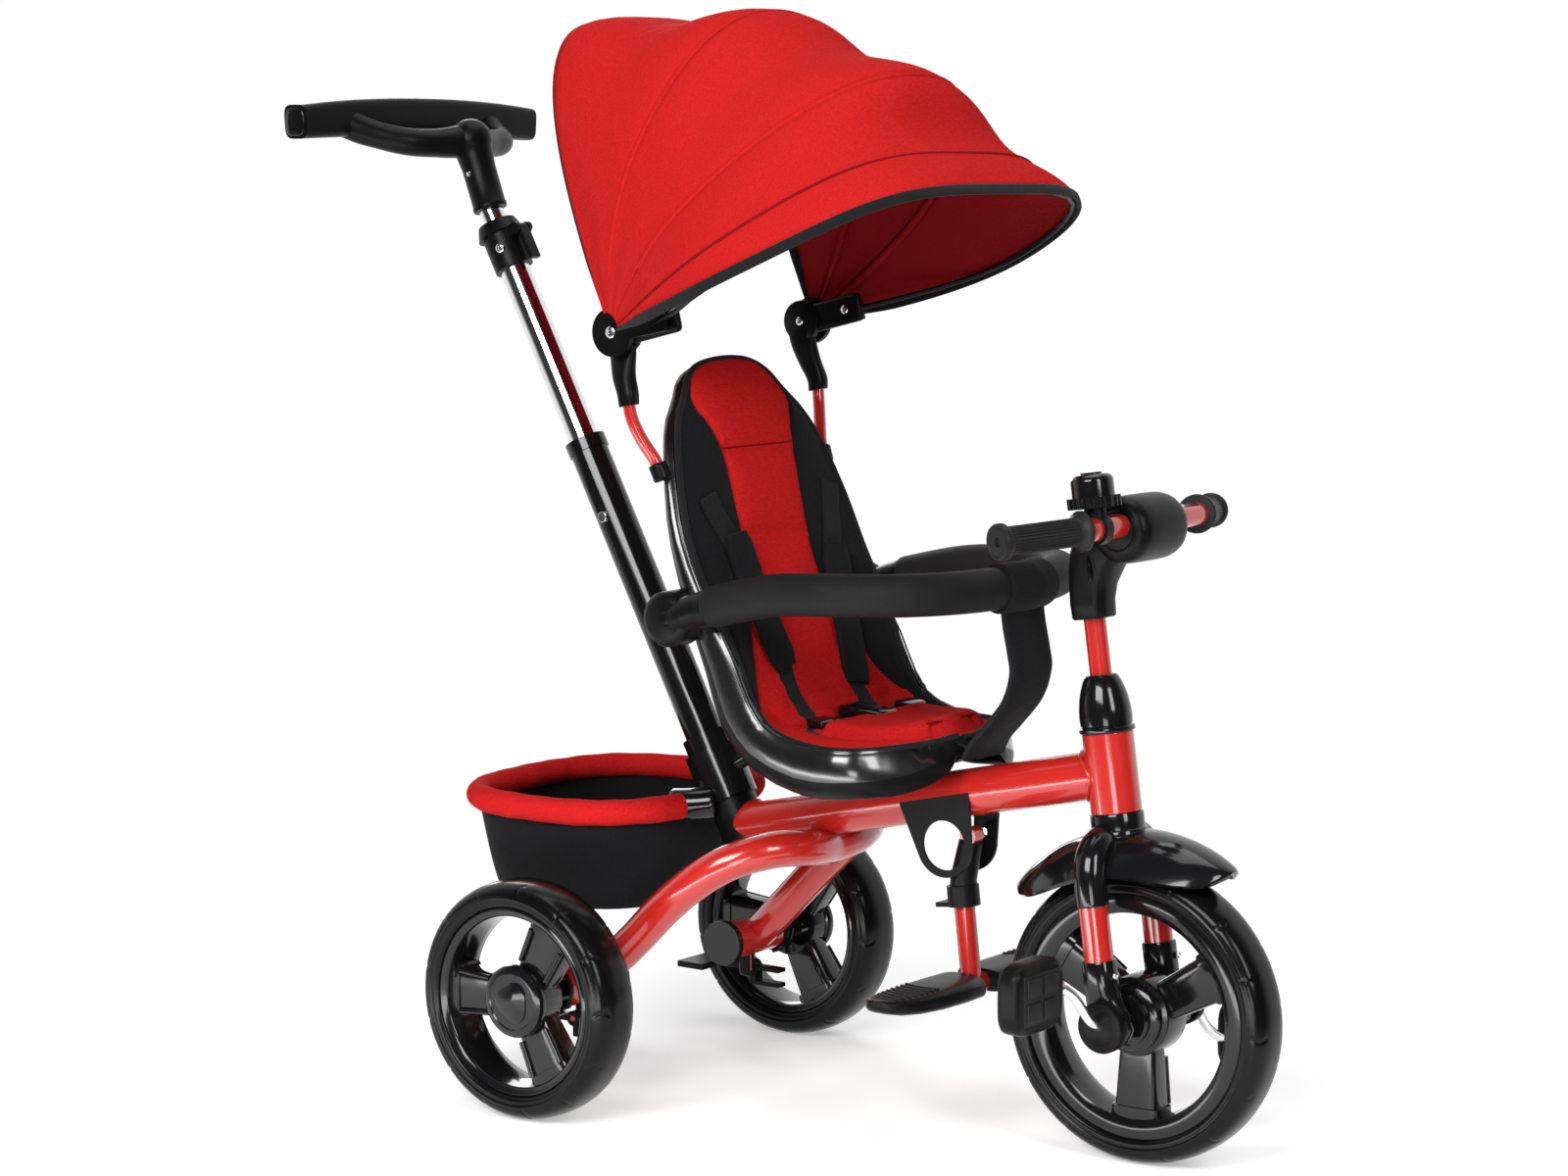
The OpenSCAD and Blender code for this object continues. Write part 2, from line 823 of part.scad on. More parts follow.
module crank_side(side) {
    arm = [side * crank_x, spindle_in - crank_knuckle_r, side * crank_z];
    foot = [0, boss_y + crank_boss_t, 0];
    disc_y([0, 0, 0], crank_d / 2, 0, boss_y + crank_boss_t);
    disc_y([0, 0, 0], crank_boss_r, boss_y, boss_y + crank_boss_t);
    rod(foot, arm - [0, pedal_spindle_r, 0], crank_arm_r);
    translate(arm - [0, pedal_spindle_r, 0]) sphere(crank_knuckle_r);
    disc_y(arm, pedal_spindle_r, arm[1] - pedal_spindle_r, pedal_mid + pedal_w / 2 + gap + spindle_head);
    disc_y(arm, spindle_head_r, pedal_mid + pedal_w / 2 + gap, pedal_mid + pedal_w / 2 + gap + spindle_head);
}

// The crank keeps the axes of the ground, not those of the raked fork
module at_front_axle() {
    translate([wheelbase, 0, front_r]) children();
}

module crank() {
    color(black) at_front_axle() {
        crank_side(-1);
        mirror([0, 1, 0]) crank_side(1);
    }
}

module pedal(side) {
    at_front_axle() translate([-side * crank_x, side * pedal_mid, -side * crank_z]) color(dark) difference() {
        union() {
            rotate([0, 90, 0]) linear_extrude(height = pedal_t, center = true)
                rounded_rect(pedal_h, pedal_w, pedal_round);
            for (y = [-1, 1], z = [-1, 1]) translate([0, y * pedal_w / 5, z * pedal_h / 4]) rotate([0, 90, 0])
                linear_extrude(height = pedal_t + 2 * pedal_tread_t, center = true)
                    rounded_rect(pedal_h / 3, pedal_w / 4, pedal_tread_t);
        }
        on_axle([0, -pedal_w / 2 - over, 0]) cylinder(h = pedal_w + 2 * over, r = pedal_spindle_r + run);
    }
}

module pedal_left() {
    pedal(1);
}

module pedal_right() {
    pedal(-1);
}

// Steered parts
module steerer() {
    color(red) in_steering() translate([0, 0, leg_top]) cylinder(h = bar_height - leg_top - bar_r - gap, r = stem_r);
}

module stem_cap() {
    low = head_z + head_len + gap;
    color(black) in_steering() difference() {
        union() {
            translate([0, 0, low]) cylinder(h = ring_t, r = head_r + lip_t);
            translate([0, 0, low + ring_t]) cylinder(h = cap_len / 2, r1 = cap_low_r, r2 = cap_low_r);
            translate([0, 0, low + ring_t + cap_len / 2]) cylinder(h = cap_len / 2, r1 = cap_low_r, r2 = cap_top_r);
        }
        cylinder(h = bar_height, r = stem_r + press);
    }
}

module fork_crown() {
    low = leg_top;
    color(black) in_steering() difference() {
        union() {
            translate([0, 0, low]) cylinder(h = head_z - gap - low - cup_step, r = cup_low_r);
            translate([0, 0, head_z - gap - cup_step]) cylinder(h = cup_step, r = cup_top_r);
            translate([leg_x, 0, low + crown_t / 2]) cube([fork_leg_d, fork_gap, crown_t], center = true);
            for (y = [-leg_y, leg_y]) translate([leg_x, y, low]) cylinder(h = crown_t, r = leg_r);
        }
        translate([0, 0, low - over]) cylinder(h = bar_height, r = stem_r + press);
    }
}

module fork_legs() {
    color(red) in_steering() for (y = [-leg_y, leg_y]) translate([leg_x, y, leg_foot])
        cylinder(h = leg_top - leg_foot, r = leg_r);
}

module fork_shoes() {
    color(black) in_steering() both_sides() difference() {
        union() {
            translate([leg_x, leg_y, shoe_foot]) cylinder(h = shoe_top - shoe_foot, r = shoe_r);
            disc_y([fork_offset, 0, 0], shoe_boss_r, leg_y - shoe_boss_t / 2, leg_y + shoe_boss_t / 2);
        }
        translate([leg_x, leg_y, leg_foot]) cylinder(h = leg_top, r = leg_r + press);
        disc_y([fork_offset, 0, 0], crank_d / 2 + run, 0, 2 * leg_y);
    }
}

// Fender: an arched shell that narrows to rounded tips, with covers over the fork legs
fender_rows = 20;
fender_columns = 8;

function fender_point(i, j, lift) =
    let (f = i / fender_rows, a = mix(fender_back_a, fender_front_a, f), v = 2 * j / fender_columns - 1,
        w = fender_half_w * pow(1 - pow(abs(2 * f - 1), 3.2), 0.5) + 3 * fender_t,
        r = fender_r + lift - fender_drop * pow(abs(v), 2.4))
    [r * cos(a), v * (w + lift), r * sin(a)];

module fender() {
    grid = [for (i = [0:fender_rows]) [for (j = [0:fender_columns]) [i, j]]];
    color(black) difference() {
        union() {
            at_front_axle() sheet(
                [for (row = grid) [for (q = row) fender_point(q[0], q[1], 0)]],
                [for (row = grid) [for (q = row) fender_point(q[0], q[1], -fender_t)]]);
            in_steering() for (y = [-leg_y, leg_y]) translate([leg_x, y, fender_cover_low])
                cylinder(h = leg_top - fender_cover_low, r = fender_cover_r);
            in_steering() translate([0, 0, leg_top - crown_t - gap])
                cube([fork_leg_d, fork_gap, crown_t], center = true);
        }
        in_steering() for (y = [-leg_y, leg_y]) translate([leg_x, y, leg_foot]) cylinder(h = leg_top, r = leg_r + press);
        in_steering() translate([0, 0, leg_top]) cylinder(h = head_z, r = 2 * head_r);
        in_steering() cylinder(h = leg_top + over, r = stem_r + press);
    }
}

// Handlebar in the steering frame
grip_root = bar_straight / 2;

bend_cut = bar_bend_r * tan(grip_sweep / 2);

function bar_point(d) = [bar_reach - d * sin(grip_sweep), grip_root + d * cos(grip_sweep), bar_height];

module handlebar() {
    color(red) in_steering() {
        disc_y([bar_reach, 0, bar_height], bar_r, bend_cut - grip_root, grip_root - bend_cut);
        both_sides() {
            translate([bar_reach - bar_bend_r, grip_root - bend_cut, bar_height])
                rotate_extrude(angle = grip_sweep) translate([bar_bend_r, 0]) circle(bar_r);
            rod(bar_point(bend_cut), bar_point(grip_len - grip_end_t), bar_r);
        }
    }
}

module grip_shape() {
    rotate_extrude() polygon([[bar_r + press, bar_r / 2], [grip_flange_r, bar_r / 2],
        [grip_flange_r, bar_r / 2 + grip_flange_t], [grip_r, bar_r / 2 + grip_flange_t + grip_ring_t],
        [grip_r, grip_len - grip_end_t - grip_ring_t], [grip_end_r, grip_len - grip_end_t],
        [grip_end_r, grip_len - over], [grip_end_r - over, grip_len], [0, grip_len],
        [0, grip_len - grip_end_t + press], [bar_r + press, grip_len - grip_end_t + press]]);
}

module grips() {
    color(dark) in_steering() both_sides() between(bar_point(0), bar_point(grip_len)) grip_shape();
}

module stem_shroud() {
    color(dark) in_steering() difference() {
        union() {
            hull() {
                translate([0, 0, shroud_low]) cylinder(h = shroud_collar, r = shroud_r, $fn = 32);
                disc_y([bar_reach / 2, 0, bar_height - pod_r / 2], shroud_neck_r, -shroud_neck_w / 2,
                    shroud_neck_w / 2, $fn = 32);
            }
            hull() {
                disc_y([bar_reach / 2, 0, bar_height - pod_r / 2], shroud_neck_r, -shroud_neck_w / 2,
                    shroud_neck_w / 2, $fn = 32);
                disc_y([bar_reach, 0, bar_height], pod_r - pod_round, -shroud_neck_w, shroud_neck_w, $fn = 32);
            }
            hull() {
                disc_y([bar_reach, 0, bar_height], pod_r, pod_round - pod_w / 2, pod_w / 2 - pod_round, $fn = 32);
                disc_y([bar_reach, 0, bar_height], pod_r - pod_round, -pod_w / 2, pod_w / 2, $fn = 32);
            }
        }
        cylinder(h = bar_height - bar_r - gap + press, r = stem_r + press);
        disc_y([bar_reach, 0, bar_height], bar_r + press, -bar_straight, bar_straight);
    }
}

module bell_place() {
    in_steering() translate([bar_reach, bell_y, bar_height]) children();
}

module bell_clamp() {
    color(dark) bell_place() difference() {
        union() {
            disc_y([0, 0, 0], bar_r + bell_band_t, -bell_band_w / 2, bell_band_w / 2);
            cylinder(h = bell_base_z, r = bell_stalk_r);
            cylinder(h = bell_base_z + bell_ring_h, r = bell_stalk_r / 2);
        }
        disc_y([0, 0, 0], bar_r + press, -bell_band_w, bell_band_w);
        disc_y([0, 0, 0], bar_r + press, -bell_stalk_r - over, bell_stalk_r + over);
    }
}

module bell_dome() {
    low = bell_base_z + gap;
    color(black) bell_place() difference() {
        union() {
            translate([0, 0, low]) cylinder(h = bell_ring_h, r = bell_ring_r - bell_tooth_r);
            for (k = [0:bell_teeth - 1]) rotate(k * 360 / bell_teeth) translate([bell_ring_r - bell_tooth_r, 0, low])
                cylinder(h = bell_ring_h, r = bell_tooth_r);
            translate([0, 0, low + bell_ring_h]) rotate_extrude() {
                square([bell_dome_r, bell_dome_h - bell_round]);
                square([bell_dome_r - bell_round, bell_dome_h]);
                translate([bell_dome_r - bell_round, bell_dome_h - bell_round]) circle(bell_round);
            }
            translate([0, 0, low + bell_ring_h + bell_dome_h]) cylinder(h = bell_tooth_r, r = bell_dome_r / 2);
        }
        cylinder(h = bell_base_z + bell_ring_h + gap, r = bell_stalk_r / 2 + run);
    }
}

// Push bar
module socket_cover() {
    color(black) difference() {
        in_push() {
            translate([0, 0, cover_low]) cylinder(h = cover_top - cover_low, r = cover_r);
            translate([0, 0, cover_top]) cylinder(h = collar_top - cover_top, r = collar_r);
            translate([0, 0, knob_s]) rotate([0, 90, 0]) cylinder(h = knob_reach, r = knob_r);
            on_axle([-push_lower_r, -rim_lug_y, cover_low + rim_lug_r]) cylinder(h = 2 * rim_lug_y, r = rim_lug_r);
        }
        main_solid();
        socket_solid();
        in_push() translate([0, 0, lower_foot]) cylinder(h = push_lower_top, r = push_lower_r + press);
    }
}

module lower_push_tube() {
    color(black) in_push() difference() {
        union() {
            translate([0, 0, lower_foot]) cylinder(h = push_lower_top - lower_foot, r = push_lower_r);
            translate([0, 0, push_lower_top - lip_len]) cylinder(h = lip_len, r = push_lower_r + lip_t);
        }
        translate([0, 0, lower_foot - over]) cylinder(h = push_lower_top, r = push_middle_r - tube_wall);
        translate([0, 0, middle_foot]) cylinder(h = push_lower_top, r = push_middle_r + press);
        on_axle([0, -push_lower_d, button_s]) cylinder(h = push_lower_d, r = button_r + run);
    }
}

module middle_push_tube() {
    color(steel) in_push() difference() {
        translate([0, 0, middle_foot]) pipe(push_middle_top - middle_foot, push_middle_r, push_upper_r + run);
        on_axle([0, -push_lower_d, button_s]) cylinder(h = push_lower_d, r = button_r + run);
    }
}

module push_button() {
    color(steel) in_push() on_axle([0, -push_lower_r - button_stand, button_s]) cylinder(h = button_len, r = button_r);
}

module clamp_collar() {
    color(dark) in_push() difference() {
        union() {
            translate([0, 0, clamp_low]) cylinder(h = clamp_top - clamp_low, r = clamp_r);
            translate([0, 0, clamp_top - clamp_hat_t]) cylinder(h = clamp_hat_t, r1 = clamp_hat_r, r2 = clamp_r);
            for (y = [-1, 1]) on_axle([clamp_pin_x, y * (lever_w / 2 + gap + clamp_ear_t / 2) - clamp_ear_t / 2,
                clamp_pin_s]) {
                cylinder(h = clamp_ear_t, r = clamp_ear_r);
                translate([-clamp_pin_x + push_upper_r + over, -clamp_ear_r, 0])
                    cube([clamp_pin_x - push_upper_r - over, 2 * clamp_ear_r, clamp_ear_t]);
            }
            on_axle([clamp_pin_x, -lever_w / 2 - gap, clamp_pin_s]) cylinder(h = lever_w + 2 * gap, r = clamp_pin_r);
        }
        translate([0, 0, clamp_low - over]) cylinder(h = push_middle_top - clamp_low + over, r = push_middle_r + press);
        translate([0, 0, clamp_low]) cylinder(h = clamp_top, r = push_upper_r + run);
        translate([clamp_hat_r, -lever_w / 2 - gap, clamp_pin_s - lever_len - gap])
            cube([clamp_pin_x - clamp_hat_r - clamp_pin_r - run, lever_w + 2 * gap, lever_len + clamp_ear_r + 2 * gap]);
    }
}

module clamp_lever() {
    color(dark) in_push() difference() {
        union() {
            on_axle([clamp_pin_x, -lever_w / 2, clamp_pin_s]) cylinder(h = lever_w, r = clamp_ear_r - over);
            translate([clamp_pin_x - over, -lever_w / 2, clamp_pin_s - lever_len])
                cube([lever_t, lever_w, lever_len]);
        }
        on_axle([clamp_pin_x, -lever_w, clamp_pin_s]) cylinder(h = 2 * lever_w, r = clamp_pin_r + run);
    }
}

module upper_push_tube() {
    color(steel) in_push() translate([0, 0, upper_foot])
        pipe(hub_s - hub_r / 2 - upper_foot, push_upper_r, push_upper_r - upper_wall);
}

handle_bar_path = let (mid = push_point(-bar_back, 0, bar_s)) [for (k = [-6:6]) let (f = k / 6)
    mid + [0, f * handle_w / 2, bar_rise * (1 - f * f)]];

module handle_branch(side) {
    hub = push_point(0, 0, hub_s);
    tip = push_point(-bar_back, side * branch_y, bar_s) + [0, 0, bar_rise / 2];
    knee = mix(hub, tip, 0.55) + [0, side * branch_r, -branch_r];
    skin(swept(curve([hub, mix(hub, knee, 0.5), knee, tip], 3), [0, 0, 1], circle_section(branch_r, 12)));
}

module push_handle() {
    color(dark) difference() {
        union() {
            skin(swept(handle_bar_path, [0, 0, 1], square_section(handle_section, 4, 16)));
            handle_branch(1);
            handle_branch(-1);
            in_push() translate([0, 0, handle_foot]) cylinder(h = hub_s - handle_foot, r = sleeve_r);
            in_push() translate([0, 0, hub_s]) sphere(hub_r);
        }
        in_push() translate([0, 0, upper_foot]) cylinder(h = hub_s - hub_r / 2 - upper_foot, r = push_upper_r + press);
    }
}

// Basket
function rim_point(a, inset) = [basket_mid_x + (basket_len / 2 - inset) * power(cos(a), 2 / basket_shares),
    (basket_w / 2 - inset) * power(sin(a), 2 / basket_shares), rim_z];

module basket_rim() {
    color(red) difference() {
        skin(swept([for (k = [0:rim_steps]) rim_point(mix(rim_open, 360 - rim_open, k / rim_steps), rim_d / 2)],
            [0, 0, 1], circle_section(rim_d / 2, 10)));
        in_push() on_axle([-push_lower_r, -rim_lug_y - gap, cover_low + rim_lug_r])
            cylinder(h = 2 * (rim_lug_y + gap), r = rim_lug_r + gap);
        in_push() translate([0, 0, socket_low]) cylinder(h = collar_top, r = cover_r + gap);
    }
}

function bag_ring(q, inset, lift) = [for (k = [0:35])
    let (p = rim_point(-k * 10, rim_d / 2)) [basket_mid_x + (p[0] - basket_mid_x) * q[1] - sign(p[0] - basket_mid_x) * inset,
        p[1] * q[1] - sign(p[1]) * inset, rim_z - rim_d / 2 - gap - q[0] * (bag_depth - rim_d / 2) + lift]];

module basket_bag() {
    color(black) difference() {
        skin([for (q = bag_shares) bag_ring(q, bag_inset, 0)]);
        skin(concat([bag_ring([-0.1, bag_shares[0][1]], bag_inset + bag_wall, 0)],
            [for (q = bag_shares) bag_ring(q, bag_inset + bag_wall, bag_wall)]));
    }
}

// Seat: a grid of points over the bucket, lifted square to its middle line
seat_line = curve([for (q = seat_shares) [seat_x + q[0] * seat_depth, seat_z + q[1] * seat_back_h,
    q[2] * seat_half, q[3] * edge_rise, q[4] * lip_drop]], seat_steps);
seat_last = len(seat_line) - 1;

function seat_station(f) = let (i = min(floor(f * seat_last), seat_last - 1), t = f * seat_last - i)
    mix(seat_line[i], seat_line[i + 1], t);

function seat_normal(f) = let (a = seat_station(max(f - 0.02, 0)), b = seat_station(min(f + 0.02, 1)),
    t = unit([b[0] - a[0], b[1] - a[1]])) [-t[1], t[0]];

// f runs from the top of the back to the front edge, v from one side to the other
function seat_point(f, v, lift) = let (q = seat_station(f), n = seat_normal(f),
    h = q[3] * pow(abs(v), shell_power) + lift)
    [q[0] + n[0] * h, v * q[2], q[1] + n[1] * h];

// The shell's section: the bucket between its edges, then the rolled lip outside each edge
function lip_section(q, side) = [for (e = lip_shares) [side * (q[2] + e[0] * lip_out), q[3] - e[1] * q[4]]];

function shell_section(q) = let (right = lip_section(q, -1), left = lip_section(q, 1))
    concat([right[2], right[1], right[0]], [for (j = [0:seat_columns]) let (v = 2 * j / seat_columns - 1)
        [v * q[2], q[3] * pow(abs(v), shell_power)]], left);

function inset(line, d) = [for (i = [0:len(line) - 1]) let (t = tangent(line, i)) line[i] + d * [t[1], -t[0]]];

function shell_grid(d) = [for (i = [0:seat_last]) let (q = seat_line[i], n = seat_normal(i / seat_last))
    [for (e = inset(shell_section(q), d)) [q[0] + n[0] * e[1], e[0], q[1] + n[1] * e[1]]]];

module seat_shell() {
    color(black) sheet(shell_grid(0), shell_grid(seat_wall));
}

function channel(f) = 1 - channel_depth_share * max([for (c = channel_shares)
    exp(-pow((f - c) / channel_width_share, 2))]);

function pad_lift(f, v) = crown_lift(f, v, channel(f));

function crown_lift(f, v, fill) = gap + pad_edge_t + (pad_t - pad_edge_t) * (1 - pow(abs(v), 4)) * fill
    * min(1, 0.35 + 6 * f, 0.35 + 6 * (1 - f))
    + (f > cushion_start_share && f < cushion_end_share && abs(v) < 0.62 ? cushion_lift : 0);

pad_rows = 30;

module seat_pad() {
    rows = [for (i = [0:pad_rows]) 0.012 + 0.976 * i / pad_rows];
    color(red) sheet(
        [for (f = rows) [for (j = [0:seat_columns]) let (v = 2 * j / seat_columns - 1)
            seat_point(f, pad_edge_share * v, pad_lift(f, v))]],
        [for (f = rows) [for (j = [0:seat_columns]) let (v = 2 * j / seat_columns - 1)
            seat_point(f, pad_edge_share * v, pad_clear)]]);
}

// A strap lies on the pad from one share of the seat's length to another
module strap(f0, f1, v0, v1, half, t) {
    rows = 12;
    grid = [for (i = [0:rows]) [for (j = [-2:2]) [mix(f0, f1, i / rows), mix(v0, v1, i / rows) + j * half / 2]]];
    sheet([for (row = grid) [for (q = row) seat_point(q[0], pad_edge_share * q[1], crown_lift(q[0], q[1], 1) + strap_clear + t)]],
        [for (row = grid) [for (q = row) seat_point(q[0], pad_edge_share * q[1], crown_lift(q[0], q[1], 1) + strap_clear)]]);
}

module harness_pads() {
    color(dark) both_sides() strap(0.24, 0.46, strap_mid_share, strap_mid_share, strap_half_share, strap_pad_t);
}

module harness_webbing() {
    buckle_p = seat_point(buckle_share, 0, pad_lift(buckle_share, 0) + 2 * gap);
    color(black) {
        both_sides() strap(0.465, 0.66, strap_mid_share, 1.6 * strap_half_share, strap_half_share / 2, strap_t);
        translate(buckle_p + [-buckle[0] / 2, -buckle[1] / 2, strap_t]) cube(buckle);
    }
}

module seat_saddle() {
    low = main_height(saddle_x);
    top = seat_z - seat_wall;
    color(dark) difference() {
        translate([saddle_x - saddle_len / 2, -saddle_w / 2, low]) cube([saddle_len, saddle_w, top - low - gap]);
        main_solid();
        for (x = [-1, 1]) translate([saddle_x + x * saddle_bolt_gap / 2, 0, 0])
            cylinder(h = seat_z, r = saddle_bolt_r + press);
    }
}

// Guard rail
function rail_point(q) = [rail_x + q[0] * rail_reach, q[1] * rail_half_y,
    mix(rail_z, rail_front_z, q[2])];
plate_y = seat_half + lip_out + gap;
rail_disc_y = plate_y + rail_plate_t + gap;
rail_half_y = rail_disc_y + rail_set_share * rail_disc_t;
rail_path = across(curve([for (q = rail_shares) rail_point(q)], rail_steps));

module rail_hubs() {
    color(black) both_sides() {
        disc_y([rail_x, 0, rail_z], rail_disc_r, plate_y, plate_y + rail_plate_t);
        disc_y([rail_x, 0, rail_z], rail_pin_r, plate_y, rail_disc_y + rail_disc_t);
    }
}

module rail_tube() {
    color(black) {
        skin(swept(rail_path, [0, 0, 1], circle_section(rail_r, 10)));
        both_sides() difference() {
            union() {
                disc_y([rail_x, 0, rail_z], rail_disc_r, rail_disc_y, rail_disc_y + rail_disc_t);
                rod(rail_point([0, 1, 0]), rail_point(rail_shares[1]), rail_joint_r);
            }
            disc_y([rail_x, 0, rail_z], rail_pin_r + run, rail_disc_y - over, rail_half_y + rail_joint_r + over);
            disc_y([rail_x, 0, rail_z], rail_disc_r + gap, plate_y - over, plate_y + rail_plate_t + gap);
        }
    }
}

module rail_foam() {
    start = rail_steps;
    n = len(rail_path) - 1;
    path = [for (i = [start:n - start]) rail_path[i]];
    longer = [for (i = [start - 1:n - start + 1]) rail_path[i]];
    color(dark) difference() {
        skin(swept(path, [0, 0, 1], circle_section(foam_r, 12)));
        skin(swept(longer, [0, 0, 1], circle_section(rail_r + gap, 10)));
        both_sides() rod(rail_point([0, 1, 0]), rail_point(rail_shares[1]), rail_joint_r + gap);
    }
}

module crotch_pad() {
    n = len(rail_path);
    mid = (n - 1) / 2;
    wrap = [for (i = [mid - 2:mid + 2]) rail_path[i]];
    longer = [for (i = [mid - 3:mid + 3]) rail_path[i]];
    drop = rail_front_z - seat_z;
    path = curve([for (q = crotch_shares) [rail_x + q[0] * rail_reach, 0, rail_front_z - q[1] * drop]], 2);
    color(black) difference() {
        union() {
            intersection() {
                skin(swept(wrap, [0, 0, 1], circle_section(foam_r + crotch_wrap_t, 14)));
                translate([rail_x, -crotch_w / 2, seat_z]) cube([2 * rail_reach, crotch_w, 2 * drop]);
            }
            skin(swept(path, [0, 1, 0], square_section([crotch_t / 2, crotch_w / 2], 5, 16)));
        }
        skin(swept(longer, [0, 0, 1], circle_section(foam_r + gap, 12)));
    }
}

// Canopy: bows in planes through the hinge, and the fabric stretched over them
function arch_turn(q) = q < 0.5 ? 90 * pow(2 * q, 1.6) : 180 - 90 * pow(2 - 2 * q, 1.6);

function arch_point(reach, half_w, foot_w, squareness, angle, lift, t, sag, straight) =
    let (r0 = pow(sin(t), 2 / squareness), r = reach * r0 - sag * r0 * r0,
        w = foot_w + (half_w - foot_w) * sin(90 * max(0, min(1, (r - straight) / (flare_share * reach - straight)))),
        a = angle - lift * (1 - r0))
    [hinge_x + r * cos(a), -w * power(cos(t), 2 / squareness), hinge_z + r * sin(a)];

function foot_turn(reach, squareness, r) = asin(pow(r / reach, squareness / 2));

function bow_path(i, foot_y) = let (reach = bow_reach[i] - bow_inset, n = bow_squareness_shares[i],
    t0 = foot_turn(reach, n, fabric_foot), a = bow_angle[i] - bow_lift[i],
    foot = [hinge_x + bow_start * cos(a), -foot_y, hinge_z + bow_start * sin(a)])
    concat([foot], [for (k = [0:arch_columns]) let (t = mix(t0, 180 - t0, arch_turn(k / arch_columns) / 180))
        arch_point(reach, bow_half_w[i] - bow_inset, foot_y, n, bow_angle[i], bow_lift[i], t, 0, bow_straight)],
        [mirrored(foot)]);

function eye_low(i) = stack_in + post_t + gap + i * (eye_t + gap);

// A bow's wire with an eye plate at each foot
module bow(i, t) {
    y0 = eye_low(i);
    color(steel) difference() {
        union() {
            skin(swept(bow_path(i, y0 + t / 2), [sin(bow_angle[i]), 0, -cos(bow_angle[i])],
                circle_section(bow_d / 2, 8)));
            both_sides() on_axle([hinge_x, y0, hinge_z]) linear_extrude(height = t) children();
        }
        both_sides() disc_y([hinge_x, 0, hinge_z], hinge_pin_r + run, y0 - 2 * bow_d, y0 + t + 2 * bow_d);
    }
}

module canopy_bow_rear() {
    bow(0, eye_t) circle(eye_r);
}

module canopy_bow_second() {
    bow(1, eye_t) circle(eye_r);
}

module canopy_bow_third() {
    bow(2, eye_t) circle(eye_r);
}

// The front bow's eye plate runs on as a bracket along the wire
module canopy_bow_front() {
    bow(3, front_eye_t) {
        circle(front_eye_r);
        rotate(bow_lift[3] - bow_angle[3]) translate([0, -bracket_w / 2]) square([bracket_len, bracket_w]);
    }
}

function fabric_row(i, f, thin) = let (
    reach = mix(bow_reach[i], bow_reach[i + 1], f) - thin, half_w = mix(bow_half_w[i], bow_half_w[i + 1], f) - thin,
    n = mix(bow_squareness_shares[i], bow_squareness_shares[i + 1], f), t0 = foot_turn(reach, n, fabric_foot))
    [for (k = [0:arch_columns]) let (t = mix(t0, 180 - t0, arch_turn(k / arch_columns) / 180))
        arch_point(reach, half_w, fabric_half_w - thin, n, mix(bow_angle[i], bow_angle[i + 1], f),
            mix(bow_lift[i], bow_lift[i + 1], f), t, canopy_sag * pow(sin(180 * f), 2), 0)];

function fabric_grid(thin) = concat([for (i = [0:2], k = [0:panel_steps - 1]) fabric_row(i, k / panel_steps, thin)],
    [fabric_row(2, 1, thin)]);

module canopy_fabric() {
    color(red) sheet(fabric_grid(0), fabric_grid(fabric_t));
}

// Hinge posts, each with a plate beside the bow eyes and a socket for its arm
module canopy_posts() {
    color(dark) both_sides() difference() {
        union() {
            disc_y([hinge_x, 0, hinge_z], post_r, stack_in, stack_in + post_t);
            between(arm_neck, [hinge_x, stack_in + post_t / 2, hinge_z]) cylinder(h = norm(arm_neck
                - [hinge_x, stack_in + post_t / 2, hinge_z]), r1 = post_foot_r, r2 = post_t);
        }
        disc_y([hinge_x, 0, hinge_z], hinge_pin_r + press, stack_in - over, stack_in + 2 * post_t);
        disc_y([hinge_x, 0, hinge_z], front_eye_r + gap, stack_in + post_t, stack_in + 3 * post_r);
        arm_solid(arm_r + press);
    }
}

arm_path = curve([arm_foot, arm_bend, arm_mid, arm_neck, arm_top], 3);

module arm_solid(r) {
    skin(swept(arm_path, [1, 0, 0], circle_section(r, 12)));
}

// The sleeve's inner side is flat against the shell's lip
module arm_sleeve() {
    difference() {
        rod(arm_foot, arm_bend, arm_sleeve_r);
        translate([0, -sleeve_flat_y, 0]) cube([seat_depth, 2 * sleeve_flat_y, hinge_z]);
    }
}

// Bent arms with the sleeves that hold them to the seat back
module canopy_arms() {
    color(red) both_sides() {
        arm_solid(arm_r);
        arm_sleeve();
    }
}

// Footrest
module bracket_plate(y0, x0, x1, window) {
    difference() {
        hull() {
            translate([x0, y0, main_height(x0)]) cube([x1 - x0, plate_t, over]);
            translate([x1 - over, y0, main_height(x1)]) cube([over, plate_t, over]);
            disc_y([window_x, 0, window_z], window_d / 2 + window_wall, y0, y0 + plate_t);
        }
        if (window) disc_y([window_x, 0, window_z], window_d / 2, y0 - over, y0 + plate_t + over);
    }
}

module footrest_bracket() {
    color(black) difference() {
        union() {
            bracket_plate(-plate_in - plate_t, plate_back_x, plate_front_x, true);
            intersection() {
                bracket_plate(plate_in, plate_back_x, far_plate_front_x, false);
                translate([far_plate_back_x, 0, 0]) cube([foot_len, 2 * plate_in, 2 * window_z]);
            }
        }
        main_solid();
        disc_y([foot_pivot_x, 0, foot_pivot_z], foot_pin_r + press, -2 * plate_in, 2 * plate_in);
    }
}

foot_knuckle = [knuckle_x, 0, knuckle_z];
foot_low = [cross_x, 0, cross_z];

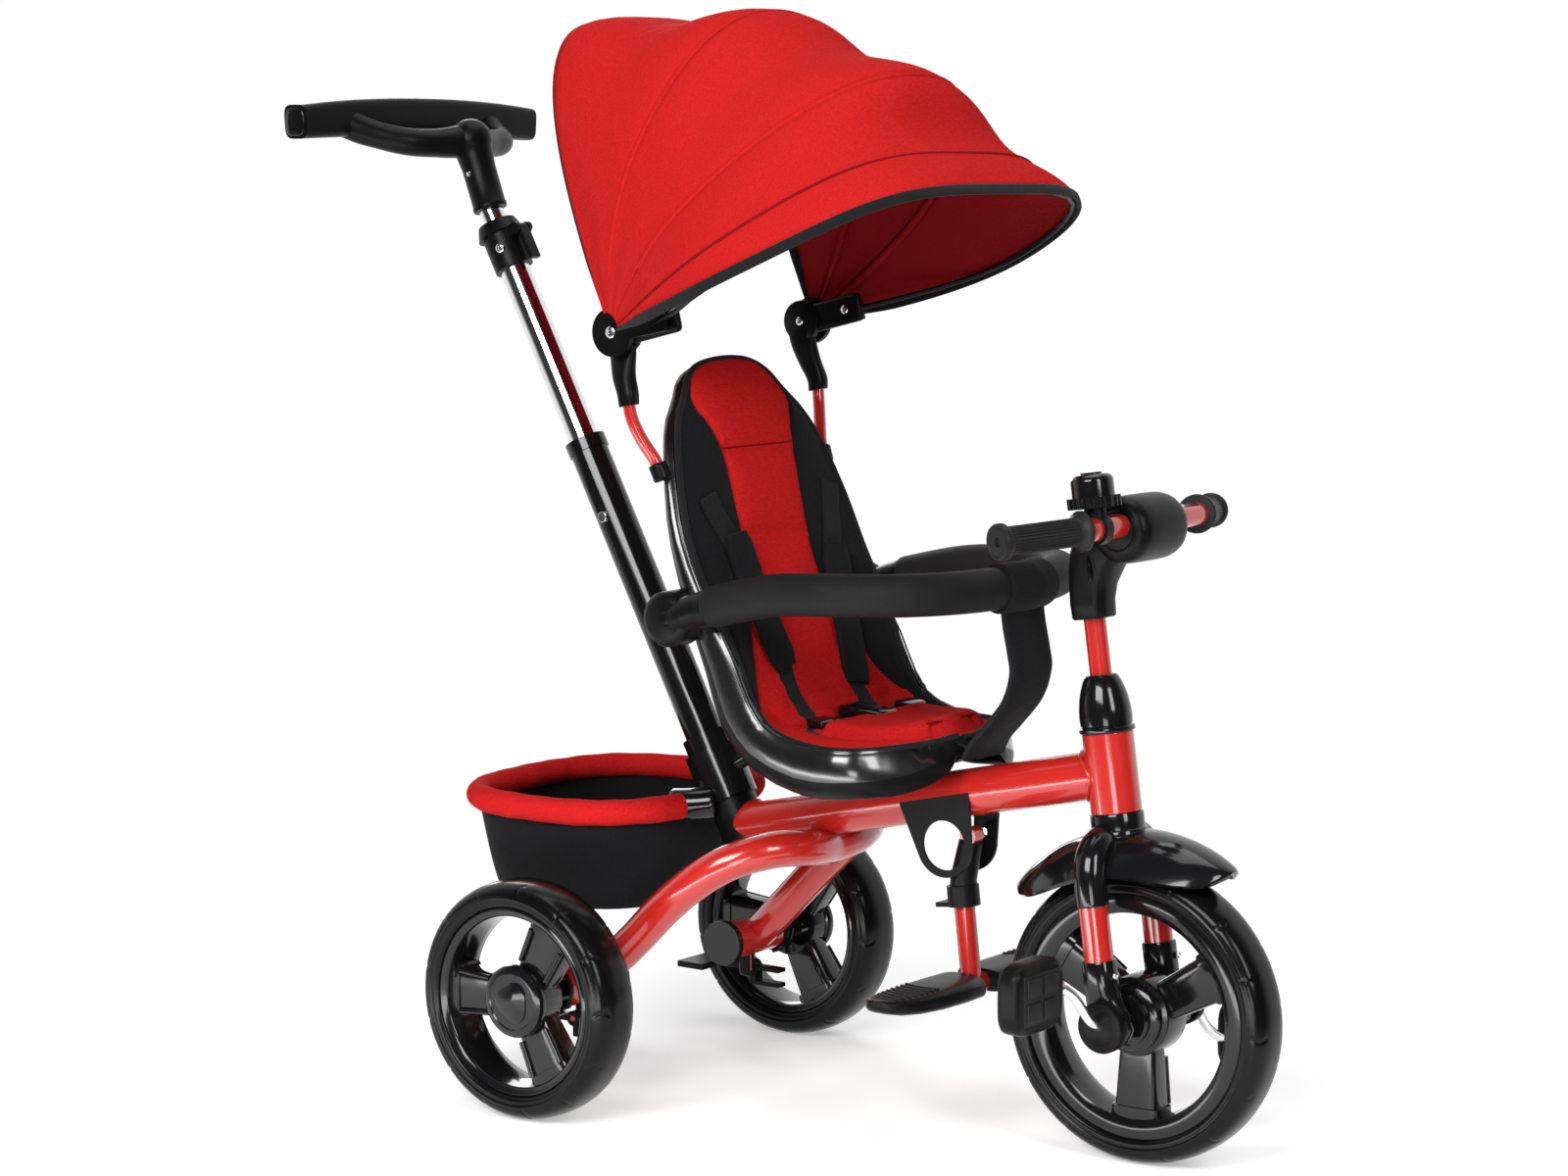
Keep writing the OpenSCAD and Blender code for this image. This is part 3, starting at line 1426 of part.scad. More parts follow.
module footrest_tube() {
    color(red) difference() {
        union() {
            disc_y([foot_pivot_x, 0, foot_pivot_z], lug_r, -lug_t / 2, lug_t / 2);
            rod([foot_pivot_x, 0, foot_pivot_z], foot_knuckle, lug_t / 2 - over);
            rod(foot_knuckle, foot_low, foot_tube_d / 2);
            disc_y(foot_low, cross_r, -foot_in - foot_len, foot_in + foot_len);
        }
        disc_y([foot_pivot_x, 0, foot_pivot_z], foot_pin_r + run, -lug_t, lug_t);
    }
}

module footrest_collar() {
    color(dark) difference() {
        between(foot_knuckle, foot_low) {
            cylinder(h = collar_h, r = footrest_collar_r);
            translate([0, -thumb_w / 2, collar_h - thumb_t]) cube([thumb_len, thumb_w, thumb_t]);
        }
        between(foot_knuckle, foot_low) translate([0, 0, -over]) cylinder(h = collar_h + 2 * over,
            r = foot_tube_d / 2 + run);
    }
}

module foot_plates() {
    color(dark) both_sides() difference() {
        hull() {
            translate([cross_x, foot_in + foot_round, cross_z]) cube([foot_len, 2 * foot_round, foot_t], center = true);
            translate([cross_x, foot_span / 2 - foot_round, cross_z - foot_tip / 2]) cylinder(h = foot_t / 2 + foot_tip / 2,
                r = foot_len / 2 - foot_round / 2, $fn = 32);
        }
        disc_y(foot_low, cross_r + press, -over, foot_in + foot_len);
    }
}

// Fasteners of the frame: saddle bolts, canopy hinge pins, footrest bolt
module bolts() {
    pin_top = eye_low(3) + front_eye_t + gap;
    color(steel) {
        for (x = [-1, 1]) translate([saddle_x + x * saddle_bolt_gap / 2, 0, 0]) difference() {
            translate([0, 0, main_height(saddle_x)]) cylinder(h = seat_z - seat_wall - gap - main_height(saddle_x),
                r = saddle_bolt_r);
            translate([-saddle_x - x * saddle_bolt_gap / 2, 0, 0]) main_solid();
        }
        both_sides() {
            disc_y([hinge_x, 0, hinge_z], hinge_pin_r, stack_in, pin_top);
            disc_y([hinge_x, 0, hinge_z], bolt_head_r, pin_top, pin_top + bolt_head_t);
        }
        disc_y([foot_pivot_x, 0, foot_pivot_z], foot_pin_r, -plate_in - plate_t - over, plate_in + plate_t + over);
        both_sides() disc_y([foot_pivot_x, 0, foot_pivot_z], bolt_head_r, plate_in + plate_t, plate_in + plate_t
            + bolt_head_t);
    }
}

placed() main_tube();
placed() head_tube();
placed() push_socket();
placed() rear_fork();
placed() axle_housings();
placed() rear_axles();
placed() socket_cover();
placed() lower_push_tube();
placed() middle_push_tube();
placed() clamp_collar();
placed() basket_rim();
placed() basket_bag();
placed() seat_shell();
placed() seat_saddle();
placed() bolts();
placed() seat_pad();
placed() harness_pads();
placed() harness_webbing();
placed() rail_hubs();
placed() canopy_arms();
placed() canopy_posts();
placed() head_bushes();
placed() footrest_bracket();
placed() canopy_bow_rear();
placed() canopy_fabric();
placed() steerer();
placed() stem_cap();
placed() fork_crown();
placed() fork_legs();
placed() fork_shoes();
placed() fender();
placed() handlebar();
placed() stem_shroud();
placed() grips();
placed() bell_clamp();
placed() bell_dome();
placed() front_tyre();
placed() front_rim();
placed() crank();
placed() pedal_left();
placed() pedal_right();
placed() rear_tyre_left();
placed() rear_rim_left();
placed() rear_tyre_right();
placed() rear_rim_right();
placed() upper_push_tube();
placed() push_handle();
placed() clamp_lever();
placed() push_button();
placed() rail_tube();
placed() rail_foam();
placed() crotch_pad();
placed() canopy_bow_second();
placed() canopy_bow_third();
placed() canopy_bow_front();
placed() footrest_tube();
placed() foot_plates();
placed() footrest_collar();
placed() brake_left();
placed() brake_right();
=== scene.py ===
"""Looks of the toddler push-along trike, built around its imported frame."""

import json
import math

import bmesh
import bpy
import numpy as np
from mathutils import Matrix, Vector


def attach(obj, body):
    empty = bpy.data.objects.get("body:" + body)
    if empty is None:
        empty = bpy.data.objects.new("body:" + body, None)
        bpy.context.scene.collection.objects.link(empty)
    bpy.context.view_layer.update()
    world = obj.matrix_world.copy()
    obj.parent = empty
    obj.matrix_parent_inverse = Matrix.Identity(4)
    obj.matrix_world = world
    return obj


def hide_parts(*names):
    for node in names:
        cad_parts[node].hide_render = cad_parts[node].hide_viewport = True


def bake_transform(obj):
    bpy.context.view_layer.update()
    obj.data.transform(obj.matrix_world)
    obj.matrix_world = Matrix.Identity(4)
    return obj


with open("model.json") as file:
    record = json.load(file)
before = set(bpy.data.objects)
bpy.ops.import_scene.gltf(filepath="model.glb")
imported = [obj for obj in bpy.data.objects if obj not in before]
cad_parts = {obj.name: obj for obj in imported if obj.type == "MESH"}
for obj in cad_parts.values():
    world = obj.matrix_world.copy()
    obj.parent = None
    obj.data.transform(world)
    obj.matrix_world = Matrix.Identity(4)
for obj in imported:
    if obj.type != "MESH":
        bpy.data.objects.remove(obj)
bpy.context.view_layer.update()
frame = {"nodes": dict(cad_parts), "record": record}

MM = 0.001
GAP = 0.4
ORIGIN_X = -157.1626
SIDES = ((-1, "right"), (1, "left"))
BODY_OF = {n: b for b, names in frame["record"]["behaviour"]["bodies"].items() for n in names}


# Points and curves, in millimetres of the chassis frame
def place(points):
    """Chassis millimetres to row metres."""
    return (np.asarray(points, float) + np.array([ORIGIN_X, 0.0, 0.0])) * MM


def mix(a, b, t):
    return a + (b - a) * t


def sind(a):
    return math.sin(math.radians(a))


def cosd(a):
    return math.cos(math.radians(a))


def unit(v):
    v = np.asarray(v, float)
    return v / max(np.linalg.norm(v), 1e-12)


def unit_rows(v):
    return v / np.linalg.norm(v, axis=1)[:, None]


def steps_of(path):
    """Lengths of a path's steps."""
    return np.linalg.norm(np.diff(path, axis=0), axis=1)


def turns(count):
    """Angles evenly round a circle."""
    return np.linspace(0, 2 * math.pi, count, endpoint=False)


def curve(points, steps):
    """Smooth curve through the points, as the solids use."""
    p = [np.asarray(q, float) for q in points]
    out = []
    for i in range(len(p) - 1):
        a, b, c, d = p[max(i - 1, 0)], p[i], p[i + 1], p[min(i + 2, len(p) - 1)]
        for k in range(steps):
            t = k / steps
            out.append((2 * b + (c - a) * t + (2 * a - 5 * b + 4 * c - d) * t * t
                        + (3 * b - a - 3 * c + d) * t ** 3) / 2)
    return np.array(out + [p[-1]])


def across(p):
    """A path on the left side carried over to the right through its last point."""
    back = np.array(p[-2::-1]) * np.array([1.0, -1.0, 1.0])
    return np.vstack([p, back])


def power(v, e):
    return np.sign(v) * np.abs(v) ** e


def resample(path, step):
    """The same path with points at an even step."""
    path = np.asarray(path, float)
    length = np.concatenate([[0], np.cumsum(steps_of(path))])
    n = max(int(round(length[-1] / step)), 2)
    at = np.linspace(0, length[-1], n + 1)
    return np.column_stack([np.interp(at, length, path[:, k]) for k in range(path.shape[1])])


def frames(path, up):
    """Tangent, side and normal at each point of a path."""
    t = unit_rows(np.gradient(path, axis=0))
    n = unit_rows(np.cross(np.broadcast_to(up, t.shape), t))
    return t, n, np.cross(t, n)


def ring_section(sides):
    a = turns(sides)
    return np.column_stack([np.cos(a), np.sin(a)])


def along(path, at, values):
    """Values at shares of a path's length, carried over to its points."""
    return np.interp(np.linspace(0, 1, len(path)), at, values)


def square_section(half_w, half_h, squareness, sides):
    a = turns(sides)
    return np.column_stack([half_w * power(np.cos(a), 2 / squareness),
                            half_h * power(np.sin(a), 2 / squareness)])


def rings_along(path, n, m, wide, high):
    """Rings round a path: the section's places along n and m, for every ring or ring by ring."""
    return path[:, None] + wide[..., None] * n[:, None] + high[..., None] * m[:, None]


def swept(path, section, up=(0.0, 0.0, 1.0), scale=None):
    """Rings of a section carried along a path."""
    path = np.asarray(path, float)
    _, n, m = frames(path, up)
    s = np.ones((len(path), 1)) if scale is None else np.asarray(scale, float)[:, None]
    return rings_along(path, n, m, s * section[:, 0], s * section[:, 1])


# Meshes
EDGE_ANGLE = 40


def add_object(name, me, finishes, angle):
    """An object of the scene, smooth up to an angle where one is given."""
    for finish in [finishes] if isinstance(finishes, str) else finishes:
        me.materials.append(MAT[finish])
    me.shade_smooth()
    if angle:
        me.set_sharp_from_angle(angle=math.radians(angle))
    ob = bpy.data.objects.new(name, me)
    bpy.context.scene.collection.objects.link(ob)
    return ob


def mesh_object(name, points, faces, finishes, angle=None):
    me = bpy.data.meshes.new(name)
    me.from_pydata(points.tolist(), [], faces)
    me.validate()
    bm = bmesh.new()
    bm.from_mesh(me)
    bmesh.ops.recalc_face_normals(bm, faces=bm.faces)
    bm.to_mesh(me)
    bm.free()
    return add_object(name, me, finishes, angle)


def quads(n, k, wrap=True, loop=False, start=0):
    """Faces between n rows of k points; wrap closes each row, and loop joins the last row to the first."""
    return [tuple(start + r % n * k + c % k for r, c in ((i, j), (i, j + 1), (i + 1, j + 1), (i + 1, j)))
            for i in range(n if loop else n - 1) for j in range(k if wrap else k - 1)]


def flipped(faces):
    return [f[::-1] for f in faces]


def rings_object(name, rings, finishes, loop=False, angle=50):
    """A skin over closed rings, with its ends shut unless it is a loop."""
    rings = np.asarray(rings, float)
    n, k = rings.shape[:2]
    ends = [] if loop else [tuple(range(k))[::-1], tuple(range((n - 1) * k, n * k))]
    return mesh_object(name, place(np.vstack(rings)), quads(n, k, loop=loop) + ends, finishes, angle)


def tube(name, path, r, finish, sides=24, up=(0.0, 0.0, 1.0), scale=None, round_end=0.0):
    """A round bar along a path, with its ends rounded over by round_end."""
    path = np.asarray(path, float)
    s = np.ones(len(path)) if scale is None else np.asarray(scale, float)
    if round_end > 0:
        def cap(p, towards, k):
            return [(p + towards * round_end * sind(a), k * (1 - round_end / r * (1 - cosd(a))))
                    for a in np.linspace(0, 90, 5)[1:]]

        places = cap(path[0], unit(path[0] - path[1]), s[0])[::-1] + list(zip(path, s))
        places += cap(path[-1], unit(path[-1] - path[-2]), s[-1])
        path, s = np.array([q[0] for q in places]), np.array([q[1] for q in places])
    return rings_object(name, swept(path, ring_section(sides) * r, up, s), finish)


def around(axis, count):
    """Angles evenly round an axis, their directions, and the axis itself."""
    z = unit(axis)
    x = unit(np.cross(z, [0.0, 0.0, 1.0] if abs(z[2]) < 0.9 else [1.0, 0.0, 0.0]))
    a = turns(count)
    return a, np.cos(a)[:, None] * x + np.sin(a)[:, None] * np.cross(z, x), z


def lathe(name, profile, origin, axis, finish, segments=64, ribs=0, loop=False):
    """A profile of (radius, height) turned about an axis; a third value is the ribs' height."""
    a, dirs, z = around(axis, segments)
    rings = []
    for q in profile:
        r = q[0] + (q[2] * np.cos(ribs * a) if len(q) > 2 else 0 * a)
        rings.append(origin + q[1] * z + r[:, None] * dirs)
    return rings_object(name, rings, finish, angle=EDGE_ANGLE, loop=loop)


def both_ways(half):
    """A turned profile carried over to the other end of its axis."""
    return half + [(r, -h) for r, h in half[::-1]]


def loft(name, places, finish, squareness=3.0, sides=40):
    """Rounded sections at given places, each (centre, half-width vector, half-height vector)."""
    sec = square_section(1.0, 1.0, squareness, sides)
    return rings_object(name, [c + sec[:, :1] * u + sec[:, 1:] * v for c, u, v in places], finish)


def screw(name, at, axis, body, r=3.6):
    """A silver screw head standing on a surface."""
    head = [(r, 0), (r, 0.8), (r * 0.75, 1.6), (r * 0.4, 1.7), (r * 0.36, 0.9), (0.3, 0.9)]
    return ride(lathe(name, head, at, axis, "steel", 24), body)


def closed_grid(name, top, bottom, finishes, angle=None, pick=None):
    """A closed sheet between two grids of points; pick(i, j, side) gives the place of a face's finish."""
    top, bottom = np.asarray(top, float), np.asarray(bottom, float)
    n, k = top.shape[:2]
    half = n * k
    faces = quads(n, k, False) + flipped(quads(n, k, False, start=half))
    marks = [(i, j, side) for side in (0, 1) for i in range(n - 1) for j in range(k - 1)]
    last = half - k
    for j in range(k - 1):
        faces += [(j + 1, j, half + j, half + j + 1),
                  (last + j, last + j + 1, half + last + j + 1, half + last + j)]
        marks += [(0, j, 2), (n - 2, j, 2)]
    for i in range(n - 1):
        faces += [(i * k, (i + 1) * k, half + (i + 1) * k, half + i * k),
                  ((i + 2) * k - 1, (i + 1) * k - 1, half + (i + 1) * k - 1, half + (i + 2) * k - 1)]
        marks += [(i, 0, 2), (i, k - 2, 2)]
    ob = mesh_object(name, place(np.vstack([*top, *bottom])), faces, finishes, angle)
    if pick:
        for f, m in zip(ob.data.polygons, marks):
            f.material_index = pick(*m)
    return ob


def box_object(name, size, matrix, finish, bevel=1.0, segments=3):
    """A box with rounded edges, placed by a 4 by 4 matrix in chassis millimetres."""
    bm = bmesh.new()
    bmesh.ops.create_cube(bm, size=1.0)
    for v in bm.verts:
        v.co *= Vector(size)
    bmesh.ops.bevel(bm, geom=bm.edges[:], offset=bevel, segments=segments, affect="EDGES", profile=0.5)
    points = place([(matrix @ v.co)[:] for v in bm.verts])
    faces = [[v.index for v in f.verts] for f in bm.faces]
    bm.free()
    return mesh_object(name, points, faces, finish, EDGE_ANGLE)


def axes_at(origin, *axes):
    """Matrix of a place and its three axes."""
    return Matrix(np.vstack([np.column_stack([*axes, origin]), [0, 0, 0, 1]]).tolist())


def dress(node, finish, bevel):
    """A copy of a node's solid with softened edges, standing for the node."""
    me = frame["nodes"][node].data.copy()
    me.name = node + "_dressed"
    bm = bmesh.new()
    bm.from_mesh(me)
    bmesh.ops.remove_doubles(bm, verts=bm.verts, dist=2e-6)
    bmesh.ops.dissolve_limit(bm, angle_limit=math.radians(1.0), verts=bm.verts, edges=bm.edges)
    bm.to_mesh(me)
    bm.free()
    me.materials.clear()
    for f in me.polygons:
        f.material_index = 0
    ob = add_object(node + "_dressed", me, finish, EDGE_ANGLE)
    if bevel:
        b = ob.modifiers.new("edges", "BEVEL")
        b.width, b.segments, b.limit_method, b.angle_limit = bevel * MM, 2, "ANGLE", math.radians(EDGE_ANGLE)
        b.use_clamp_overlap = b.harden_normals = True
    ride(ob, BODY_OF[node], node)


# Materials
MAT = {}


def feed(owner, n, inputs):
    """Set a node's inputs, or link them to outputs of other nodes."""
    for key, value in inputs.items():
        if isinstance(value, bpy.types.NodeSocket):
            owner.node_tree.links.new(value, n.inputs[key])
        else:
            n.inputs[key].default_value = value


def node(owner, kind, inputs=None, **settings):
    n = owner.node_tree.nodes.new(kind)
    for key, value in settings.items():
        setattr(n, key, value)
    feed(owner, n, inputs or {})
    return n


def surface(m, **inputs):
    """Inputs of a material's surface, by name with _ for a space."""
    feed(m, m.node_tree.nodes["Principled BSDF"], {key.replace("_", " "): v for key, v in inputs.items()})


def shader(name, colour, rough, metal=0.0, spec=0.5, coat=0.0, coat_rough=0.05, sheen=0.0, sheen_rough=0.5):
    m = MAT[name] = bpy.data.materials.new(name)
    m.use_nodes = True
    surface(m, Base_Color=(*colour, 1), Roughness=rough, Metallic=metal, Specular_IOR_Level=spec,
            Coat_Weight=coat, Coat_Roughness=coat_rough, Sheen_Weight=sheen, Sheen_Roughness=sheen_rough)
    return m


def coords(owner, space):
    return node(owner, "ShaderNodeTexCoord").outputs[space]


def noise(m, scale, detail=3.0, rough=0.55, stretch=None, turn=(0, 0, 0)):
    """Noise in the object's own space, turned and stretched where stretch is given."""
    at = coords(m, "Object")
    if stretch:
        inputs = {"Vector": at, "Rotation": turn, "Scale": stretch}
        at = node(m, "ShaderNodeMapping", inputs).outputs["Vector"]
    inputs = {"Vector": at, "Scale": scale, "Detail": detail, "Roughness": rough}
    return node(m, "ShaderNodeTexNoise", inputs).outputs["Fac"]


def span(owner, source, start, end, low, high, kind="LINEAR"):
    """A value carried from one range to another."""
    inputs = {"Value": source, "From Min": start, "From Max": end, "To Min": low, "To Max": high}
    return node(owner, "ShaderNodeMapRange", inputs, interpolation_type=kind).outputs["Result"]


def ramp(m, source, low=0.0, high=1.0):
    """The usual range of a noise, spread from low to high."""
    return span(m, source, 0.3, 0.7, low, high)


def tint(m, source, dark, light):
    """Base colour between two colours, by a texture."""
    n = node(m, "ShaderNodeMix", {0: source, 6: (*dark, 1), 7: (*light, 1)}, data_type="RGBA")
    surface(m, Base_Color=n.outputs[2])


def bump(m, source, distance, **after):
    inputs = {"Strength": 1.0, "Distance": distance, "Height": source, **after}
    normal = node(m, "ShaderNodeBump", inputs).outputs["Normal"]
    surface(m, Normal=normal)
    return normal


def scaled(colour, k):
    return tuple(min(c * k, 1.0) for c in colour)


def uneven(m, colour, patch, dark, light, gloss, low, high, grain, detail, depth):
    """Patches of colour, uneven gloss and a fine grain, each from a noise of its own."""
    tint(m, ramp(m, noise(m, patch)), scaled(colour, dark), scaled(colour, light))
    surface(m, Roughness=ramp(m, gloss, low, high))
    bump(m, noise(m, grain, detail), depth)


def paint(name, colour, rough, coat):
    """Sprayed paint under a clear coat, with a faint orange peel."""
    m = shader(name, colour, rough, coat=coat, coat_rough=0.06)
    uneven(m, colour, 9.0, 0.9, 1.08, noise(m, 40.0), rough * 0.85, rough * 1.2, 260.0, 2.0, 0.00004)


def moulded(name, colour, rough, grain, depth, spec=0.5, coat=0.0):
    """Moulded plastic, rubber or foam with its grain."""
    m = shader(name, colour, rough, spec=spec, coat=coat)
    uneven(m, colour, 14.0, 0.8, 1.25, noise(m, 60.0), rough * 0.95, min(rough * 1.05, 1.0), grain, 4.0,
           depth)


def metal(name, colour, rough, streak=None):
    """Bare metal, its gloss drawn out along the streak."""
    m = shader(name, colour, rough, metal=1.0)
    uneven(m, colour, 25.0, 0.92, 1.05, noise(m, 120.0, stretch=streak), rough * 0.7, rough * 1.4, 700.0,
           3.0, 0.000006)


def cloth(name, colour, thread, depth=0.0004, sheen=0.25, vary=0.12, spec=0.2):
    """Woven cloth: two crossed thread waves, heathered colour and a soft sheen."""
    m = shader(name, colour, 0.9, spec=spec, sheen=sheen, sheen_rough=0.45)
    warp, weft = [noise(m, 1.0, 2.0, 0.6, (thread, thread * 0.28, thread), turn)
                  for turn in ((0.9, 0.3, 0.35), (-0.35, 0.6, 0.8))]
    both = node(m, "ShaderNodeMath", {0: warp, 1: weft}, operation="ADD").outputs[0]
    weave = node(m, "ShaderNodeMath", {0: both, 1: 0.5}, operation="MULTIPLY").outputs[0]
    tint(m, ramp(m, weave), scaled(colour, 1 - vary), scaled(colour, 1 + vary))
    bump(m, weave, depth, Normal=bump(m, noise(m, 30.0), 0.0012))


paint("red_paint", (0.43, 0.014, 0.010), 0.22, 0.8)
metal("chrome", (0.78, 0.77, 0.77), 0.07, (1.0, 1.0, 0.05))
metal("steel", (0.80, 0.80, 0.81), 0.2)
moulded("gloss_black", (0.0045, 0.0045, 0.005), 0.13, 300.0, 0.00002, spec=0.35, coat=0.2)
moulded("shell_black", (0.0045, 0.0045, 0.005), 0.22, 500.0, 0.00002, spec=0.9, coat=0.4)
moulded("matte_black", (0.0036, 0.0036, 0.0039), 0.36, 900.0, 0.00006, spec=0.12)
moulded("tyre_rubber", (0.0032, 0.0032, 0.0035), 0.2, 700.0, 0.00003, spec=0.18)
moulded("grip_rubber", (0.0070, 0.0070, 0.0075), 0.5, 1200.0, 0.0001, spec=0.25)
moulded("foam", (0.0078, 0.0078, 0.0083), 0.62, 1600.0, 0.00025, spec=0.16)
cloth("red_fabric", (0.47, 0.011, 0.011), 700.0, depth=0.0006, sheen=0.0, vary=0.22, spec=0.08)
cloth("lining", (0.22, 0.007, 0.009), 800.0, sheen=0.0, spec=0.08)
cloth("black_fabric", (0.0070, 0.0070, 0.0080), 900.0, sheen=0.03, vary=0.3, spec=0.12)
cloth("webbing", (0.0080, 0.0080, 0.0088), 1500.0, depth=0.0006, sheen=0.05, vary=0.35)
cloth("piping", (0.008, 0.008, 0.009), 1800.0, depth=0.0003, sheen=0.08)
cloth("thread_red", (0.20, 0.006, 0.007), 2500.0, sheen=0.0, spec=0.05)


def ride(ob, body, *nodes, slot=None, fill=None):
    """A piece rides on a body and stands for nodes; slot is not used."""
    if nodes:
        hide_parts(*nodes)
    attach(ob, body)
    return ob


# Camera
EYE = Vector((1.86944, -2.5819, 0.8286))
AIM = Vector((-0.04989, 0.0, 0.44338))
camera = bpy.data.cameras.new("camera")
camera.sensor_fit, camera.sensor_width, camera.lens = "HORIZONTAL", 36.0, 84.07
camera.shift_x, camera.shift_y = 0.01418, 0.00701
camera.clip_end = 60.0
camera_ob = bpy.data.objects.new("camera", camera)
camera_ob.location = EYE
camera_ob.rotation_euler = (AIM - EYE).to_track_quat("-Z", "Y").to_euler()
bpy.context.scene.collection.objects.link(camera_ob)
bpy.context.scene.camera = camera_ob
bpy.context.scene.view_settings.view_transform = "Standard"

# White sweep behind the object for the camera, gloss and glass; a dimmer room on the camera's own side
AMBIENT, ROOM = 0.18, 0.05
world = bpy.context.scene.world = bpy.data.worlds.new("studio")
world.use_nodes = True
rays = node(world, "ShaderNodeLightPath").outputs
ahead = node(world, "ShaderNodeVectorMath", {0: coords(world, "Generated"), 1: (AIM - EYE).normalized()},
             operation="DOT_PRODUCT").outputs["Value"]
sweep = span(world, ahead, -0.25, 0.35, ROOM, 1.0, "SMOOTHSTEP")
gloss = node(world, "ShaderNodeMix", {0: rays["Is Glossy Ray"], 2: AMBIENT, 3: sweep},
             data_type="FLOAT").outputs[0]
seen = node(world, "ShaderNodeMath", {0: rays["Is Camera Ray"], 1: rays["Is Transmission Ray"]},
            operation="MAXIMUM").outputs[0]
level = node(world, "ShaderNodeMix", {0: seen, 2: gloss, 3: 1.0}, data_type="FLOAT").outputs[0]
feed(world, world.node_tree.nodes["Background"], {"Color": (1, 1, 1, 1), "Strength": level})

# Pale floor that glows a little and fades out into the sweep
FLOOR_NEAR, FLOOR_FAR, FLOOR_R, FLOOR_SIDES, FLOOR_GLOW = 0.75, 1.35, 1.4, 64, 0.36
floor_mat = shader("floor", (0.93, 0.93, 0.93), 0.8, spec=0.1)
tint(floor_mat, noise(floor_mat, 2.0), (0.925, 0.925, 0.925), (0.935, 0.935, 0.935))
far = node(floor_mat, "ShaderNodeVectorMath", {0: coords(floor_mat, "Object")},
           operation="LENGTH").outputs["Value"]
surface(floor_mat, Emission_Color=(1, 1, 1, 1), Emission_Strength=FLOOR_GLOW,
        Alpha=span(floor_mat, far, FLOOR_NEAR, FLOOR_FAR, 1.0, 0.0, "SMOOTHSTEP"))
floor_edge = np.hstack([FLOOR_R * ring_section(FLOOR_SIDES), np.zeros((FLOOR_SIDES, 1))])
floor = mesh_object("floor", floor_edge, [range(FLOOR_SIDES)], "floor")


def area_light(name, at, aim, size, power_w):
    d = bpy.data.lights.new(name, "AREA")
    d.shape, d.size, d.size_y, d.energy = "RECTANGLE", size[0], size[1], power_w
    ob = bpy.data.objects.new(name, d)
    ob.location = at
    ob.rotation_euler = (Vector(aim) - Vector(at)).to_track_quat("-Z", "Y").to_euler()
    bpy.context.scene.collection.objects.link(ob)


area_light("key", (0.6, -3.0, 2.0), (0, 0, 0.5), (1.9, 1.3), 100)
area_light("fill", (2.6, -1.0, 1.6), (0, 0, 0.4), (0.7, 1.4), 34)
area_light("top", (0.1, 0.2, 3.0), (0, 0, 0.2), (1.8, 1.8), 24)
area_light("back", (-2.2, 1.9, 1.4), (0, 0, 0.5), (0.7, 1.6), 18)
area_light("low", (0.05, -0.80, 0.03), (0.02, 0, 0.38), (1.3, 0.12), 4.2)
area_light("panel", (1.07, -1.35, 0.17), (0.2, 0, 0.33), (0.5, 0.3), 3.6)

# Frame tubes, metal parts and moulded parts that keep the shape of their solids
PLAIN = {"red_paint": ["main_tube", "head_tube", "axle_housings", "steerer", "footrest_tube", "handlebar"],
         "chrome": ["middle_push_tube", "upper_push_tube"], "steel": ["push_button"],
         "gloss_black": ["rear_axles", "socket_cover", "bell_dome", "lower_push_tube"],
         "matte_black": ["clamp_collar", "clamp_lever", "seat_saddle", "head_bushes", "bell_clamp",
                         "footrest_collar", "brake_left", "brake_right", "footrest_bracket",
                         "canopy_bow_front", "push_socket", "rail_hubs", "rail_tube"]}
for finish, names in PLAIN.items():
    for name in names:
        dress(name, finish, 0.0 if name == "rail_tube" else 0.8)

# Tyres: a turned section with a raised bead line and crescent grooves on both shoulders
TYRE_SEGMENTS, TYRE_ROUND = 480, 0.8


def tyre_profile(r, half_w):
    """Section of one tyre from bead to bead, as (radius, height along the axle)."""
    side = [(r - 22, half_w - 4.0), (r - 21.2, half_w - 1.6), (r - 19, half_w - 0.4), (r - 16.5, half_w),
            (r - 14.6, half_w - 0.2), (r - 13.9, half_w + 0.7), (r - 12.9, half_w + 0.8),
            (r - 12.2, half_w - 0.1)]
    crown = [(r - 13 + 13 * math.sin(a) ** TYRE_ROUND, half_w * math.cos(a) ** TYRE_ROUND)
             for a in np.radians(range(8, 90, 4))]
    upper = side + crown + [(r, 0.0)]
    return upper + [(a, -b) for a, b in upper[-2::-1]]


